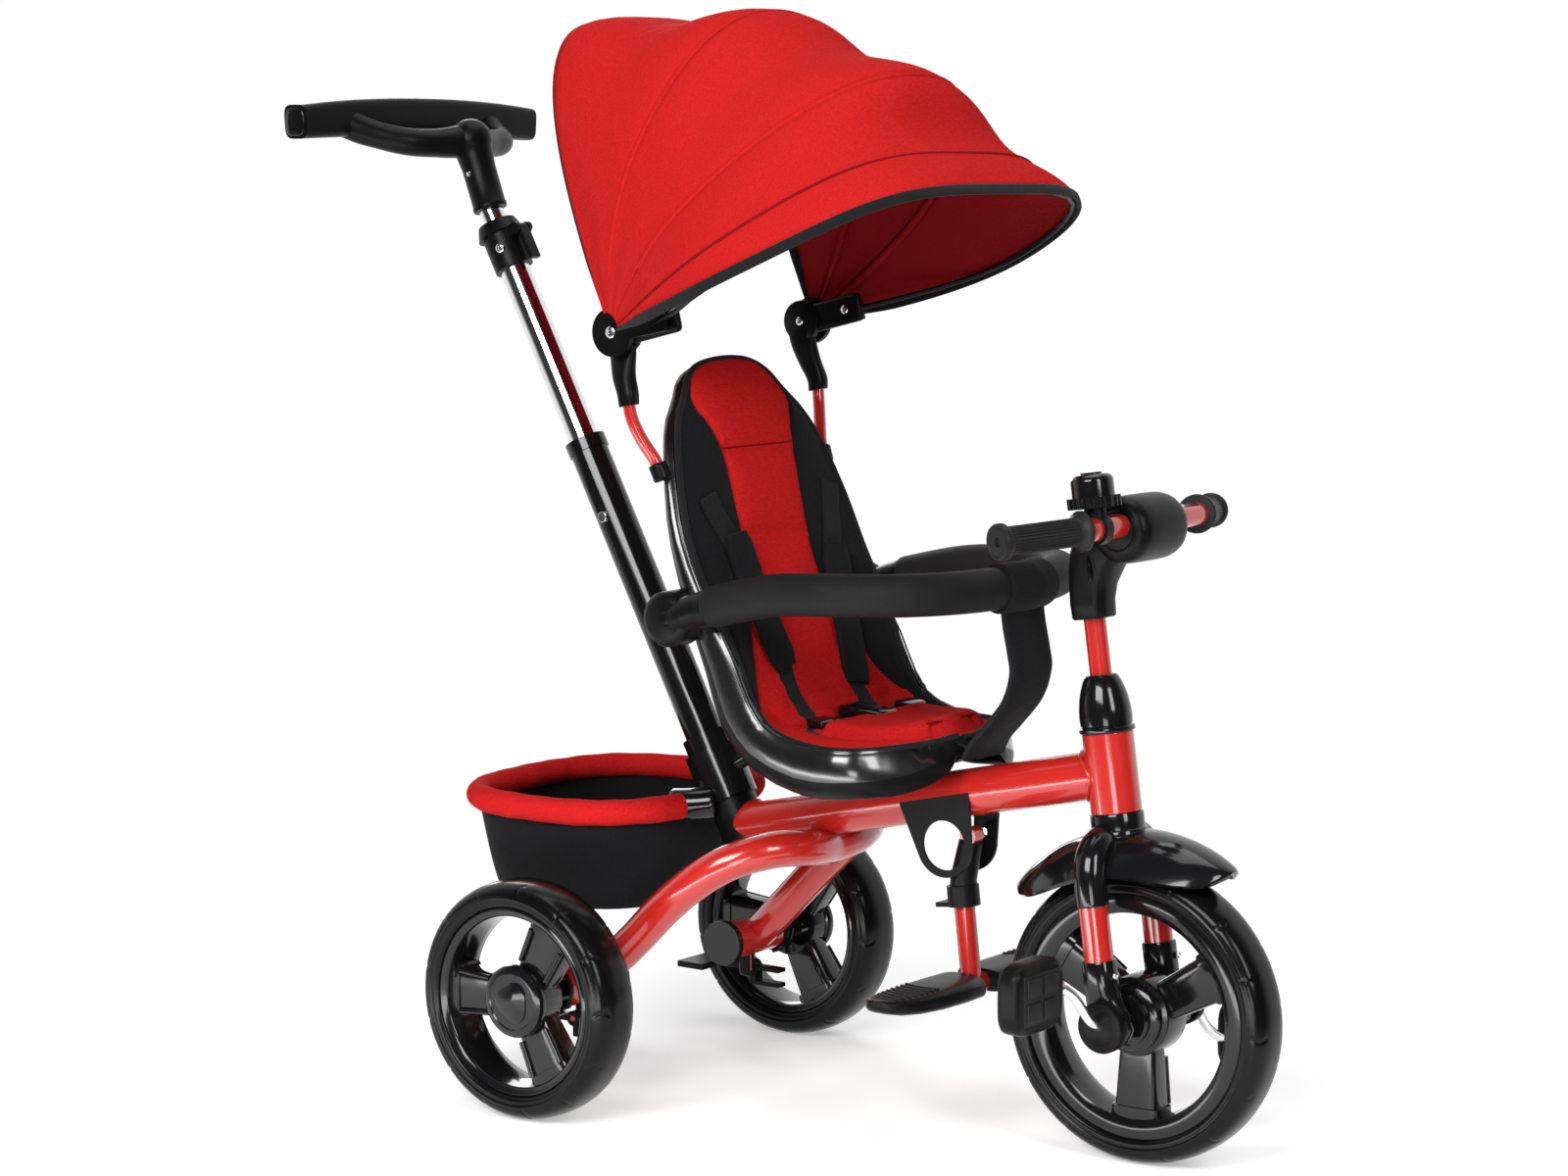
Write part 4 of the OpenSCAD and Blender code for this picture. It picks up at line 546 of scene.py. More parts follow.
def tyre(name, centre, axis, r, half_w, count, body, replaced):
    """A ring with a count of curved grooves round each shoulder, set off by half a step on one side."""
    profile = np.array(tyre_profile(r, half_w))
    run = np.concatenate([[0], np.cumsum(steps_of(profile))])
    run -= run[-1] / 2
    turn, dirs, z = around(axis, TYRE_SEGMENTS)
    shoulder, pitch = half_w - 13 + 10.0, 2 * math.pi / count
    groove_r, groove_half, depth = 8.0, 1.2, 0.75
    grid = []
    for (pr, ph), s in zip(profile, run):
        cut = np.zeros(TYRE_SEGMENTS)
        for side in (-1, 1):
            offset = (turn + (0.5 * pitch if side < 0 else 0.0) + pitch / 2) % pitch - pitch / 2
            u, v = offset * r + groove_r * 0.4, side * s - shoulder
            d = np.abs(np.hypot(u, v) - groove_r)
            inside = np.abs(np.arctan2(v, u)) < math.radians(62)
            cut = np.maximum(cut, np.where(inside, np.clip(1.4 - d / groove_half, 0, 1), 0.0))
        radius = pr - depth * cut * np.clip((pr - (r - 12)) / 6, 0, 1)
        height = ph - np.sign(ph) * 0.5 * depth * cut * np.clip((abs(ph) - (half_w - 12)) / 8, 0, 1)
        grid.append(centre + radius[:, None] * dirs + height[:, None] * z)
    ride(rings_object(name, grid, "tyre_rubber", loop=True, angle=70), body, replaced)


WHEELBASE, FRONT_R, REAR_R, TRACK_HALF = 502.0, 125.0, 105.0, 197.0
FRONT_AT = np.array([WHEELBASE, 0.0, FRONT_R])
tyre("front_tyre_ring", FRONT_AT, (0, 1, 0), FRONT_R, half_w=22.5, count=15, body="front_wheel",
     replaced="front_tyre")
for side, end in SIDES[::-1]:
    tyre(f"rear_tyre_ring_{end}", (0, side * TRACK_HALF, REAR_R), (0, side, 0), REAR_R, half_w=25.0, count=13,
         body=f"rear_wheel_{end}", replaced=f"rear_tyre_{end}")

# Rims: a deep glossy barrel, three tapered spokes and a turned hub
def wheel_dirs(a):
    return np.array([cosd(a), 0, sind(a)])


def rim(name, centre, side, r, half_w, band, hub_r, spoke_w, turn, body, replaced):
    centre, out = np.asarray(centre, float), np.array([0.0, side, 0.0])
    o = r - 22.2
    i = o - band
    profile = [(o, -half_w), (o, half_w), (o - 1.5, half_w + 1.2), (o - 0.24 * band, half_w + 1.4),
               (i + 0.3 * band, half_w), (i + 0.1 * band, half_w - 1.6), (i + 0.4, half_w - 4),
               (i - 0.4, half_w - 12), (i - 1.0, 0), (i - 0.4, 12 - half_w), (i + 1, 2 - half_w),
               (i + 0.3 * band, -half_w), (o - 0.24 * band, -half_w - 1)]
    pieces = [lathe(f"{name}_barrel", profile, centre, out, "gloss_black", 128, loop=True)]
    for k in range(3):
        d, across_it = wheel_dirs(turn + 120 * k), wheel_dirs(turn + 120 * k + 90)
        cuts = [(hub_r - 6, 0.86, 11), (hub_r + 4, 0.90, 12), (mix(hub_r, i, 0.5), 0.97, 13),
                (i - 9, 1.02, 14), (i - 8.5, 1.16, 15.5), (i - 2, 1.18, 16), (i + 3, 1.18, 16)]
        places = [(centre + d * q, across_it * spoke_w / 2 * w, out * t) for q, w, t in cuts]
        pieces.append(loft(f"{name}_spoke_{k + 1}", places, "gloss_black", 5.0))
        for edge, mark in ((-1, "a"), (1, "b")):
            bar = [centre + d * q + across_it * edge * spoke_w / 2 * (w - 0.14) + out * (t + 0.4)
                   for q, w, t in cuts[1:4]]
            pieces.append(tube(f"{name}_spoke_rib_{k + 1}_{mark}", resample(bar, 4), 2.4, "gloss_black", 12,
                               up=(0, 1, 0)))
    for ob in pieces:
        ride(ob, body, replaced)
    return centre, out


def hub(name, centre, out, profile, body):
    return ride(lathe(name, profile, centre, out, "gloss_black", 72), body)


at, out = rim("front_rim_form", FRONT_AT, 1, FRONT_R, half_w=19.0, band=16.8, hub_r=33.0, spoke_w=39.0,
              turn=-90, body="front_wheel", replaced="front_rim")
FRONT_HUB = [(7.4, -31), (20, -31), (22, -29), (22, -25), (27, -24), (29, -22), (29, -17), (33, -16),
             (34, -13)]
hub("front_hub", at, out, both_ways(FRONT_HUB), "front_wheel")
REAR_HUB = [(5.4, -27), (17, -27), (18.5, -25), (18.5, -14), (28, -13), (29, -11), (29, 11), (31, 12),
            (32, 13.5), (32, 18), (31, 20.5), (28, 22), (25, 22.3), (24, 21.4), (22, 21.4), (0.5, 22.2)]
for side, end in SIDES[::-1]:
    body = f"rear_wheel_{end}"
    at, out = rim(f"rear_rim_form_{end}", (0, side * TRACK_HALF, REAR_R), side, REAR_R, half_w=21.5,
                  band=8.5, hub_r=29.0, spoke_w=41.0, turn=60, body=body, replaced=f"rear_rim_{end}")
    hub(f"rear_hub_{end}", at, out, REAR_HUB, body)
    shield = [(5.6, 0), (18.6, 0), (19.4, 1), (19.4, 6), (18.6, 7), (5.6, 7)]
    ride(lathe(f"axle_shield_{end}", shield, (0, side * 156.4, REAR_R), (0, side, 0), "matte_black", 48),
         "frame")
    # A plain raised plate with three soft lobes on the cap, and fins round the inner hub
    plate = [(17.5, 21, 1.8), (17.2, 22.6, 1.8), (15.6, 23.5, 1.6), (0.5, 23.9, 0.0)]
    ride(lathe(f"rear_cap_plate_{end}", plate, at, out, "gloss_black", 90, ribs=3), body)
    for k in range(10):
        d, across_it = wheel_dirs(36 * k), wheel_dirs(36 * k + 90)
        places = [(at + d * q - out * 19, across_it * 1.3, out * 6.0) for q in (17, 22, 26.5)]
        ride(loft(f"rear_hub_fin_{end}_{k + 1}", places, "gloss_black", 6.0, 16), body)

# Rear fork
ARCH_SHARES = [[0.98, 0, 0.95], [1, 0.26, 0.985], [0.935, 0.51, 1], [0.79, 0.715, 0.925],
               [0.625, 0.818, 0.765], [0.467, 0.847, 0.573], [0.315, 0.854, 0.36], [0.168, 0.89, 0.17],
               [0, 1, 0]]
arch = across(curve([[q[0] * 184, q[1] * 137, REAR_R + q[2] * 131] for q in ARCH_SHARES[::-1]], 8))
ride(tube("rear_fork_bend", resample(arch, 6), 16.0, "red_paint", 32, up=(-1, 0, 1)), "frame",
     "rear_fork")

# Canopy
HINGE = np.array([56.7, 0.0, 683.0])
BOW_REACH = [286, 283, 305, 324]
BOW_HALF = [154, 187, 205, 218]
BOW_ANGLE = [110, 76, 45.6, 22.2]
BOW_SQUARE = [3.4, 2.25, 2.25, 4]
BOW_LIFT = [0, 0, 0, 10.8]
FABRIC_HALF, FLARE, SAG, FOOT = 150.0, 0.6, 20.0, 17.0


def arch_point(reach, half_w, foot_w, n, angle, lift, t, sag):
    """A point of an arch over the hinge, t degrees round it from its right foot."""
    s, c = sind(t), cosd(t)
    r0 = s ** (2 / n)
    r = reach * r0 - sag * r0 * r0
    w = foot_w + (half_w - foot_w) * sind(90 * max(0, min(1, r / (FLARE * reach))))
    a = math.radians(angle - lift * (1 - r0))
    return np.array([HINGE[0] + r * math.cos(a), -w * power(c, 2 / n), HINGE[2] + r * math.sin(a)])


def arch_turn(q):
    return 90 * (2 * q) ** 1.6 if q < 0.5 else 180 - 90 * (2 - 2 * q) ** 1.6


def canopy_row(i, f, thin, columns=120):
    """A line over the canopy, a share f of the way from bow i to the next, set in by thin."""
    tables = (BOW_REACH, BOW_HALF, BOW_SQUARE, BOW_ANGLE, BOW_LIFT)
    reach, half_w, n, angle, lift = [mix(t[i], t[i + 1], f) for t in tables]
    reach, half_w, sag = reach - thin, half_w - thin, SAG * math.sin(math.pi * f) ** 2
    t0 = math.degrees(math.asin((FOOT / reach) ** (n / 2)))
    turn = [mix(t0, 180 - t0, arch_turn(k / columns) / 180) for k in range(columns + 1)]
    return np.array([arch_point(reach, half_w, FABRIC_HALF - thin, n, angle, lift, t, sag) for t in turn])


def ripple(p, f):
    """Slack in the cloth: small radial folds that fade out at the bows."""
    d = p - HINGE
    r = np.linalg.norm(d[:, [0, 2]], axis=1)
    side = np.arctan2(d[:, 1], r)
    fade = math.sin(math.pi * f)
    low = np.clip(1 - (r - 60) / 190, 0, 1)
    wave = 0.5 * np.sin(7 * side + 4 * f) + 0.8 * low * np.sin(9 * f + 3 * side)
    return wave * fade


CANOPY_BODIES = ["frame", "bow_second", "bow_third", "bow_front"]


def fold(ob):
    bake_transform(ob)


PANEL_ROWS = 18
panels = []
for i in range(3):
    outer, inner = [], []
    for f in np.arange(PANEL_ROWS + 1) / PANEL_ROWS:
        p, q = canopy_row(i, f, 0.0), canopy_row(i, f, 1.6)
        push = ripple(p, f)[:, None] * unit_rows((p - HINGE) * [1, 0.6, 1])
        outer.append(p + push)
        inner.append(q + push)
    ob = closed_grid(f"canopy_panel_{i + 1}", outer, inner, ["red_fabric", "lining"],
                     pick=lambda a, b, side: 1 if side == 1 else 0)
    fold(ob)
    panels.append(ob)
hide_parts("canopy_fabric")


def hinge_taper(path):
    """1 away from the hinge, falling to 0.3 beside it, so that the bows can fold together."""
    return np.clip(np.linalg.norm((path - HINGE)[:, [0, 2]], axis=1) / 62, 0.3, 1.0)


def band(name, path, half_w, half_t, finish):
    """A flat tape along a path, its face turned away from the hinge."""
    t = unit_rows(np.gradient(path, axis=0))
    out = path - HINGE
    out = unit_rows(out - (out * t).sum(1)[:, None] * t)
    sec = square_section(half_w, half_t, 3.0, 16)
    rings = rings_along(path, np.cross(t, out), out, hinge_taper(path)[:, None] * sec[:, 0], sec[:, 1])
    return rings_object(name, rings, finish)


edge_front = canopy_row(2, 1.0, 0.8)
edge_rear = canopy_row(0, 0.0, 3.2)
trim = [ride(band("canopy_front_binding", edge_front, 4.6, 2.0, "piping"), "bow_front"),
        ride(band("canopy_rear_binding", edge_rear, 3.6, 2.0, "piping"), "frame")]
for i in (0, 1):
    seam = canopy_row(i, 1.0, -0.3)
    seam = seam[np.linalg.norm((seam - HINGE)[:, [0, 2]], axis=1) > 50 + 30 * i]
    trim.append(ride(band(f"canopy_seam_{i + 1}", seam, 2.2, 0.7, "red_fabric"), CANOPY_BODIES[i + 1]))
hem = band("canopy_hem_seam", canopy_row(2, 0.66, -0.2), 1.4, 0.5, "thread_red")
fold(hem)
trim.append(hem)
RODS = [("canopy_bow_rear", 0, 0.0, "frame", "piping"), ("canopy_bow_second", 0, 1.0, "bow_second", "lining"),
        ("canopy_bow_third", 1, 1.0, "bow_third", "lining")]
for name, i, f, body, finish in RODS:
    a = math.radians(mix(BOW_ANGLE[i], BOW_ANGLE[i + 1], f))
    path = resample(canopy_row(i, f, 5.4), 5)
    rod = tube(name + "_rod", path, 3.4, finish, 14, up=(-math.sin(a), 0, math.cos(a)),
               scale=hinge_taper(path))
    ride(rod, body, name, slot="red_fabric")
for i, ob in enumerate(panels):
    rows = np.array([canopy_row(i, f, 0.0) for f in np.linspace(0, 1, 19)])
    across_it, along_it = np.diff(rows, axis=0)[:, :-1], np.diff(rows, axis=1)[:-1]

# Seat
SEAT_X, SEAT_Z, SEAT_DEPTH, BACK_H, SEAT_HALF = 62, 314, 284, 322, 123.0
EDGE_RISE, LIP_DROP, LIP_OUT = 38, 44, 3
# Along the seat from the head end: x, z, half width, edge rise and lip, as shares of the sizes above
SEAT_SHARES = [[-0.014, 1.04, 0.16, 0.10, 0.25], [0.0035, 0.994, 0.45, 0.13, 0.25],
               [0.0355, 0.91, 0.70, 0.17, 0.30], [0.0775, 0.81, 0.85, 0.20, 0.32],
               [0.123, 0.65, 0.97, 0.33, 0.40], [0.162, 0.519, 1, 0.46, 0.50],
               [0.204, 0.394, 1, 0.68, 0.68], [0.264, 0.248, 1, 0.95, 0.90], [0.327, 0.118, 1, 1, 1],
               [0.433, 0.025, 1, 0.95, 1], [0.609, 0.003, 1, 0.68, 1], [0.76, 0.003, 0.985, 0.62, 0.95],
               [0.866, 0.013, 0.90, 0.55, 0.85], [0.944, 0.031, 0.70, 0.45, 0.65],
               [0.982, 0.05, 0.42, 0.35, 0.45], [1, 0.062, 0.20, 0.30, 0.35]]
SEAT_LINE = curve([[SEAT_X + q[0] * SEAT_DEPTH, SEAT_Z + q[1] * BACK_H, q[2] * SEAT_HALF, q[3] * EDGE_RISE,
                    q[4] * LIP_DROP] for q in SEAT_SHARES], 2)
SEAT_LAST = len(SEAT_LINE) - 1
PAD_EDGE_SHARE, PAD_EDGE_T, PAD_T, PAD_CLEAR = 0.95, 5.0, 22.0, 1.3
SHELL_POWER, NOSE_SET, CUSHION_T = 4, 10.0, 11.0


def smooth_step(t):
    t = min(max(t, 0.0), 1.0)
    return t * t * (3 - 2 * t)


def station(f):
    """Centre line, half width, edge rise and lip of the seat; the head end is rounded off wide."""
    f = min(max(f, 0.0), 1.0)
    i = min(int(f * SEAT_LAST), SEAT_LAST - 1)
    q = mix(SEAT_LINE[i], SEAT_LINE[i + 1], f * SEAT_LAST - i)
    q[2] *= 1 + 0.85 * max(0.0, 1 - f / 0.11) ** 2
    q[0] -= NOSE_SET * smooth_step((f - 0.6) / 0.4)
    q[2] *= 1 - 0.35 * smooth_step((f - 0.72) / 0.25)
    q[4] *= (1 + 0.2 * smooth_step((f - 0.75) / 0.12)) * (0.05 + 0.95 * smooth_step((1 - f) / 0.11))
    return q


def seat_normal(f):
    a, b = station(max(f - 0.02, 0)), station(min(f + 0.02, 1))
    t = unit([b[0] - a[0], b[1] - a[1]])
    return np.array([-t[1], t[0]])


def seat_point(f, v, lift):
    q, n = station(f), seat_normal(f)
    h = q[3] * abs(v) ** SHELL_POWER + lift
    return np.array([q[0] + n[0] * h, v * q[2], q[1] + n[1] * h])


def shell_section(q):
    lip = [[0.6, 0.03], [1.5, 0.16], [2.0, 0.38], [1.6, 0.62], [0.2, 0.84], [-2.4, 1.0]]
    side = [[q[2] + e[0] * LIP_OUT * min(1.0, q[4] / 14), q[3] - e[1] * q[4]] for e in lip]
    mid = [[v * q[2], q[3] * abs(v) ** SHELL_POWER] for v in np.linspace(-1, 1, 15)]
    return curve([[-p[0], p[1]] for p in side[::-1]] + mid + side, 4)


def inset(line, d):
    t = unit_rows(np.gradient(line, axis=0))
    return line + d * np.column_stack([t[:, 1], -t[:, 0]])


def shell_grid(d):
    grid = []
    for f in np.concatenate([np.linspace(0, 0.88, 80), np.linspace(0.885, 0.985, 26)]):
        q, n = station(f), seat_normal(f)
        grid.append([[q[0] + n[0] * e[1], e[0], q[1] + n[1] * e[1]] for e in inset(shell_section(q), d)])
    return np.array(grid)


# The lip is polished, its lower edge and the nose are matte, and the back is a plainer gloss
LIP_COLUMNS, UNDER_ROW, NOSE_ROW = (7, 96), 60, 84


def shell_finish(i, j, side):
    if i > NOSE_ROW or side == 1 and i > UNDER_ROW or not LIP_COLUMNS[0] < j < LIP_COLUMNS[1]:
        return 1
    return 2 if side == 1 else 0


ride(closed_grid("seat_bucket", shell_grid(0.0), shell_grid(4.0),
                 ["shell_black", "matte_black", "gloss_black"], pick=shell_finish), "frame", "seat_shell")

CHANNELS = [0.20, 0.308, 0.434]
BINDING = 0.93
# Half width of the red centre along the seat, as a share of the pad's half width
RED_SHARES = np.array([[0, 0.93], [0.088, 0.93], [0.107, 0.89], [0.13, 0.79], [0.15, 0.68], [0.182, 0.55],
                       [0.215, 0.465], [0.25, 0.425], [0.29, 0.395], [0.33, 0.385], [0.37, 0.41],
                       [0.41, 0.50], [0.448, 0.61], [0.475, 0.68], [0.503, 0.75], [0.535, 0.84],
                       [0.565, 0.915], [0.58, 0.93], [1.0, 0.93]])


def red_half(f):
    return float(np.interp(f, RED_SHARES[:, 0], RED_SHARES[:, 1]))


def cushion(f, v):
    """The raised front cushion, 1 on its top and 0 outside it."""
    ends = smooth_step((f - 0.625) / 0.035) * smooth_step((0.945 - f) / 0.03)
    return ends * smooth_step((0.68 - abs(v)) / 0.09)


def crown(f, v):
    lift = PAD_EDGE_T + (PAD_T - PAD_EDGE_T) * (1 - abs(v) ** 4) * min(1, 0.35 + 6 * f, 0.35 + 6 * (1 - f))
    return GAP + lift + CUSHION_T * cushion(f, v)


def pad_edge(f):
    """The pad covers the shell's rim on the back and lies inside it on the seat."""
    return mix(0.995, PAD_EDGE_SHARE, smooth_step((f - 0.38) / 0.14))


def pad_seams(f, v):
    """Depth share of the sewn lines: across the back, along the red centre and inside the binding."""
    r = red_half(f)
    c = max(math.exp(-((f - s) / 0.006) ** 2) for s in CHANNELS) * smooth_step((r - abs(v)) / 0.04)
    side = math.exp(-((abs(v) - r) / 0.025) ** 2) * smooth_step((0.92 - r) / 0.02)
    rim = 0.45 * math.exp(-((abs(v) - BINDING) / 0.018) ** 2)
    return c, side, rim


def pad_top(f, v):
    c, side, rim = pad_seams(f, v)
    return crown(f, v) - 4.5 * c - 3.0 * max(side, rim)


def pad_point(f, v, lift):
    """A point of the pad; its head end is rounded over the shell's."""
    up = unit(station(0.0)[:2] - station(0.03)[:2]) * 4.0 * (1 - v * v) * smooth_step(1 - f / 0.09)
    return seat_point(f, pad_edge(f) * v, lift) + [up[0], 0, up[1]]


PAD_ROWS, RED_COLS, SIDE_COLS, PUFF_FRAMES = 116, 36, 14, 16
pad_f = [0.006 + 0.985 * i / PAD_ROWS for i in range(PAD_ROWS + 1)]


def pad_columns(f):
    """Places across the pad, with one column on each edge of the red centre."""
    r = red_half(f)
    outer = [r + (1 - r) * j / SIDE_COLS for j in range(1, SIDE_COLS + 1)]
    return [-q for q in outer[::-1]] + [r * (2 * j / RED_COLS - 1) for j in range(RED_COLS + 1)] + outer


def puff(ob, free, pressure, cap):
    """Air pressed into a padded piece: cloth between its pinned seams, moved by no more than the cap."""
    me = ob.data
    start = np.array([v.co for v in me.vertices])
    pins = ob.vertex_groups.new(name="seams")
    for i, w in enumerate(free):
        pins.add([i], 1.0 - float(w), "REPLACE")
    press = ob.modifiers.new("puff", "CLOTH")
    c = press.settings
    c.quality, c.mass, c.vertex_group_mass = 5, 0.15, "seams"
    c.tension_stiffness = c.compression_stiffness = 12.0
    c.shear_stiffness, c.bending_stiffness = 6.0, 0.8
    c.use_pressure, c.uniform_pressure_force = True, pressure
    c.effector_weights.gravity = 0.0
    press.point_cache.frame_start, press.point_cache.frame_end = 1, PUFF_FRAMES
    for k in range(1, PUFF_FRAMES + 1):
        bpy.context.scene.frame_set(k)
    done = ob.evaluated_get(bpy.context.evaluated_depsgraph_get()).data
    move = np.array([v.co for v in done.vertices]) - start
    size = np.linalg.norm(move, axis=1)
    move *= (np.minimum(size, cap * MM) / np.maximum(size, 1e-9))[:, None]
    ob.modifiers.remove(press)
    ob.vertex_groups.remove(pins)
    me.vertices.foreach_set("co", (start + move).astype(np.float32).ravel())
    me.update()
    bpy.context.scene.frame_set(1)


pad_rows = [pad_columns(f) for f in pad_f]
top = [[pad_point(f, v, pad_top(f, v)) for v in row] for f, row in zip(pad_f, pad_rows)]
bottom = [[pad_point(f, v, PAD_CLEAR) for v in row] for f, row in zip(pad_f, pad_rows)]
pad = closed_grid("seat_liner", top, bottom, ["red_fabric", "black_fabric"],
                  pick=lambda i, j, side: 0 if side == 0 and SIDE_COLS <= j < SIDE_COLS + RED_COLS else 1)
loose = []
for i, f in enumerate(pad_f):
    for v in pad_rows[i]:
        sewn = min(1, 1.3 * max(pad_seams(f, v)))
        loose.append((1 - sewn) * smooth_step((0.97 - abs(v)) / 0.1) * (0 < i < PAD_ROWS))
puff(pad, loose + [0.0] * len(loose), 4.0, 5.0)
ride(pad, "frame", "seat_pad", fill=0.6)


def pad_line(points, lift):
    """A line on the pad through (f, v) points."""
    return np.array([pad_point(f, v, pad_top(f, v) + lift) for f, v in points])


edge_points = [(f, -1.0) for f in pad_f[::-1]]
edge_points += [(pad_f[0], v) for v in np.linspace(-1, 1, 20)[1:-1]]
edge_points += [(f, 1.0) for f in pad_f]
edge_points += [(pad_f[-1], v) for v in np.linspace(1, -1, 10)[1:]]
rim_line = resample(curve(pad_line(edge_points, -1.5)[::3], 3), 4)
ride(tube("seat_liner_piping", rim_line, 3.0, "piping", 14), "frame")
for k, f in enumerate(CHANNELS):
    row = [(f, v) for v in np.linspace(-0.97, 0.97, 40) * red_half(f)]
    ride(tube(f"seat_back_stitch_{k + 1}", resample(pad_line(row, 0.4), 3), 0.9, "thread_red", 8), "frame")
for k, spread in enumerate((0.54, 0.46)):
    corner = square_section(0.118 - 0.012 * k, spread, 5.0, 120)
    stitch = [(0.785 + a, b) for a, b in np.vstack([corner, corner[:1]])]
    ride(tube(f"seat_cushion_stitch_{k + 1}", resample(pad_line(stitch, 0.3), 3), 0.8, "thread_red", 8),
         "frame")


# Harness: padded shoulder straps, webbing, slides and a buckle
def on_pad(points, lift):
    """A path over the pad through (f, v) points, with its normals."""
    fv = curve(points, 12)
    path = np.array([pad_point(f, v, crown(f, v) + lift) for f, v in fv])
    nearby = np.array([pad_point(f, v, crown(f, v) + lift + 1) for f, v in fv])
    both = resample(np.hstack([path, nearby]), 2.5)
    return both[:, :3], unit_rows(both[:, 3:] - both[:, :3])


def ribbon(name, points, lift, half_w, half_t, finish, squareness=5.0, taper=0.0):
    path, normal = on_pad(points, lift)
    across_it = unit_rows(np.cross(normal, unit_rows(np.gradient(path, axis=0))))
    sec = square_section(half_w, half_t, squareness, 28)
    share = np.linspace(0, 1, len(path))
    wide = 1 - taper * np.clip(np.abs(2 * share - 1) - 0.8, 0, 1) / 0.2
    rings = rings_along(path, across_it, normal, wide[:, None] * sec[:, 0], sec[:, 1])
    return rings_object(name, rings, finish), (2 * half_w * MM, steps_of(path).sum() * MM)


def fitting(name, f, v, turn, size, lift, finish, bevel=2.0):
    """A moulded block lying on the pad, turned about the pad's normal."""
    at = pad_point(f, v, crown(f, v) + lift)
    up = unit(pad_point(f, v, crown(f, v) + lift + 5) - at)
    side = unit(np.cross(up, [cosd(turn), sind(turn), 0.0]))
    ob = box_object(name, size, axes_at(at, np.cross(side, up), side, up), finish, bevel)
    return ride(ob, "frame", slot="matte_black")


def web(name, points, lift, half_w, half_t, *nodes):
    """A flat web laid over the pad."""
    ob, flat = ribbon(name, points, lift, half_w, half_t, "webbing")
    ride(ob, "frame", *nodes)


for (side, end), low, high in zip(SIDES, (0.485, 0.53), (0.300, 0.335)):
    strap = [(high, side * 0.57), (mix(high, low, 0.5), side * 0.49), (low, side * 0.40)]
    shoulder, _ = ribbon(f"harness_shoulder_pad_{end}", strap, 7.0, 17.0, 4.6, "black_fabric", 3.2,
                         taper=0.25)
    ride(shoulder, "frame", "harness_pads", fill=0.5)
    upper = [(0.25, side * 0.78), (0.275, side * 0.70), (high + 0.02, side * 0.55)]
    web(f"harness_upper_web_{end}", upper, 3.0, 12.0, 1.1)
    lower = [(low - 0.01, 0.39), (low + 0.045, 0.40), (0.605, 0.33), (0.63, 0.16), (0.635, 0.04)]
    web(f"harness_web_{end}", [(f, side * v) for f, v in lower], 4.5, 10.0, 1.2, "harness_webbing")
    lap = [(0.637, 0.10), (0.642, 0.40), (0.646, 0.62), (0.645, 0.73)]
    web(f"harness_lap_web_{end}", [(f, side * v) for f, v in lap], 4.0, 10.0, 1.2)
    fitting(f"harness_slide_{end}", 0.628, side * 0.24, 90, (27, 15, 7), 6.0, "matte_black")
    fitting(f"harness_lap_slide_{end}", 0.645, side * 0.56, 90, (27, 17, 7), 6.0, "gloss_black")
fitting("harness_buckle", 0.642, 0.03, 90, (34, 42, 10), 8.0, "gloss_black", 3.0)
fitting("harness_buckle_button", 0.642, 0.03, 90, (15, 20, 3), 13.5, "matte_black", 1.2)

# Guard rail
RAIL_X, RAIL_Z, RAIL_FRONT_Z, RAIL_REACH, RAIL_HALF, FOAM_R = 117, 441, 474, 263, 144.7, 18.0
RAIL_SHARES = [[0.1, 1, 0.25], [0.18, 1, 0.42], [0.43, 1, 0.85], [0.68, 0.97, 0.97], [0.85, 0.81, 1],
               [0.947, 0.49, 1], [1, 0, 1]]


def rail_point(q):
    return [RAIL_X + q[0] * RAIL_REACH, q[1] * RAIL_HALF, mix(RAIL_Z, RAIL_FRONT_Z, q[2])]


RAIL_STEPS = 10
rail = across(curve([rail_point(q) for q in RAIL_SHARES], RAIL_STEPS))
foam_path = resample(rail[RAIL_STEPS:len(rail) - RAIL_STEPS], 5)
foam = tube("guard_foam", foam_path, FOAM_R, "foam", 32, round_end=4.0)
ride(foam, "guardrail", "rail_foam", fill=0.9)

for side, end in SIDES:
    cuff = curve([rail_point(q) for q in ([0.03, 1, 0.03], [0.1, 1, 0.25], [0.18, 1, 0.42],
                                          [0.24, 1, 0.53])], 8)
    cuff = resample(cuff, 3) * [1, side, 1]
    spread = along(cuff, [0, 0.2, 0.55, 0.62, 1], [0.86, 0.95, 1.0, 1.06, 1.08])
    ride(tube(f"rail_cuff_{end}", cuff, 15.5, "matte_black", 32, scale=spread, round_end=2.5),
         "guardrail")
    ride(lathe(f"rail_disc_{end}", [(23, -8), (24, -6), (24, 4), (22, 8), (17, 10.5), (0.5, 11.5)],
               (RAIL_X, side * RAIL_HALF, RAIL_Z), (0, side, 0), "matte_black", 48), "guardrail")

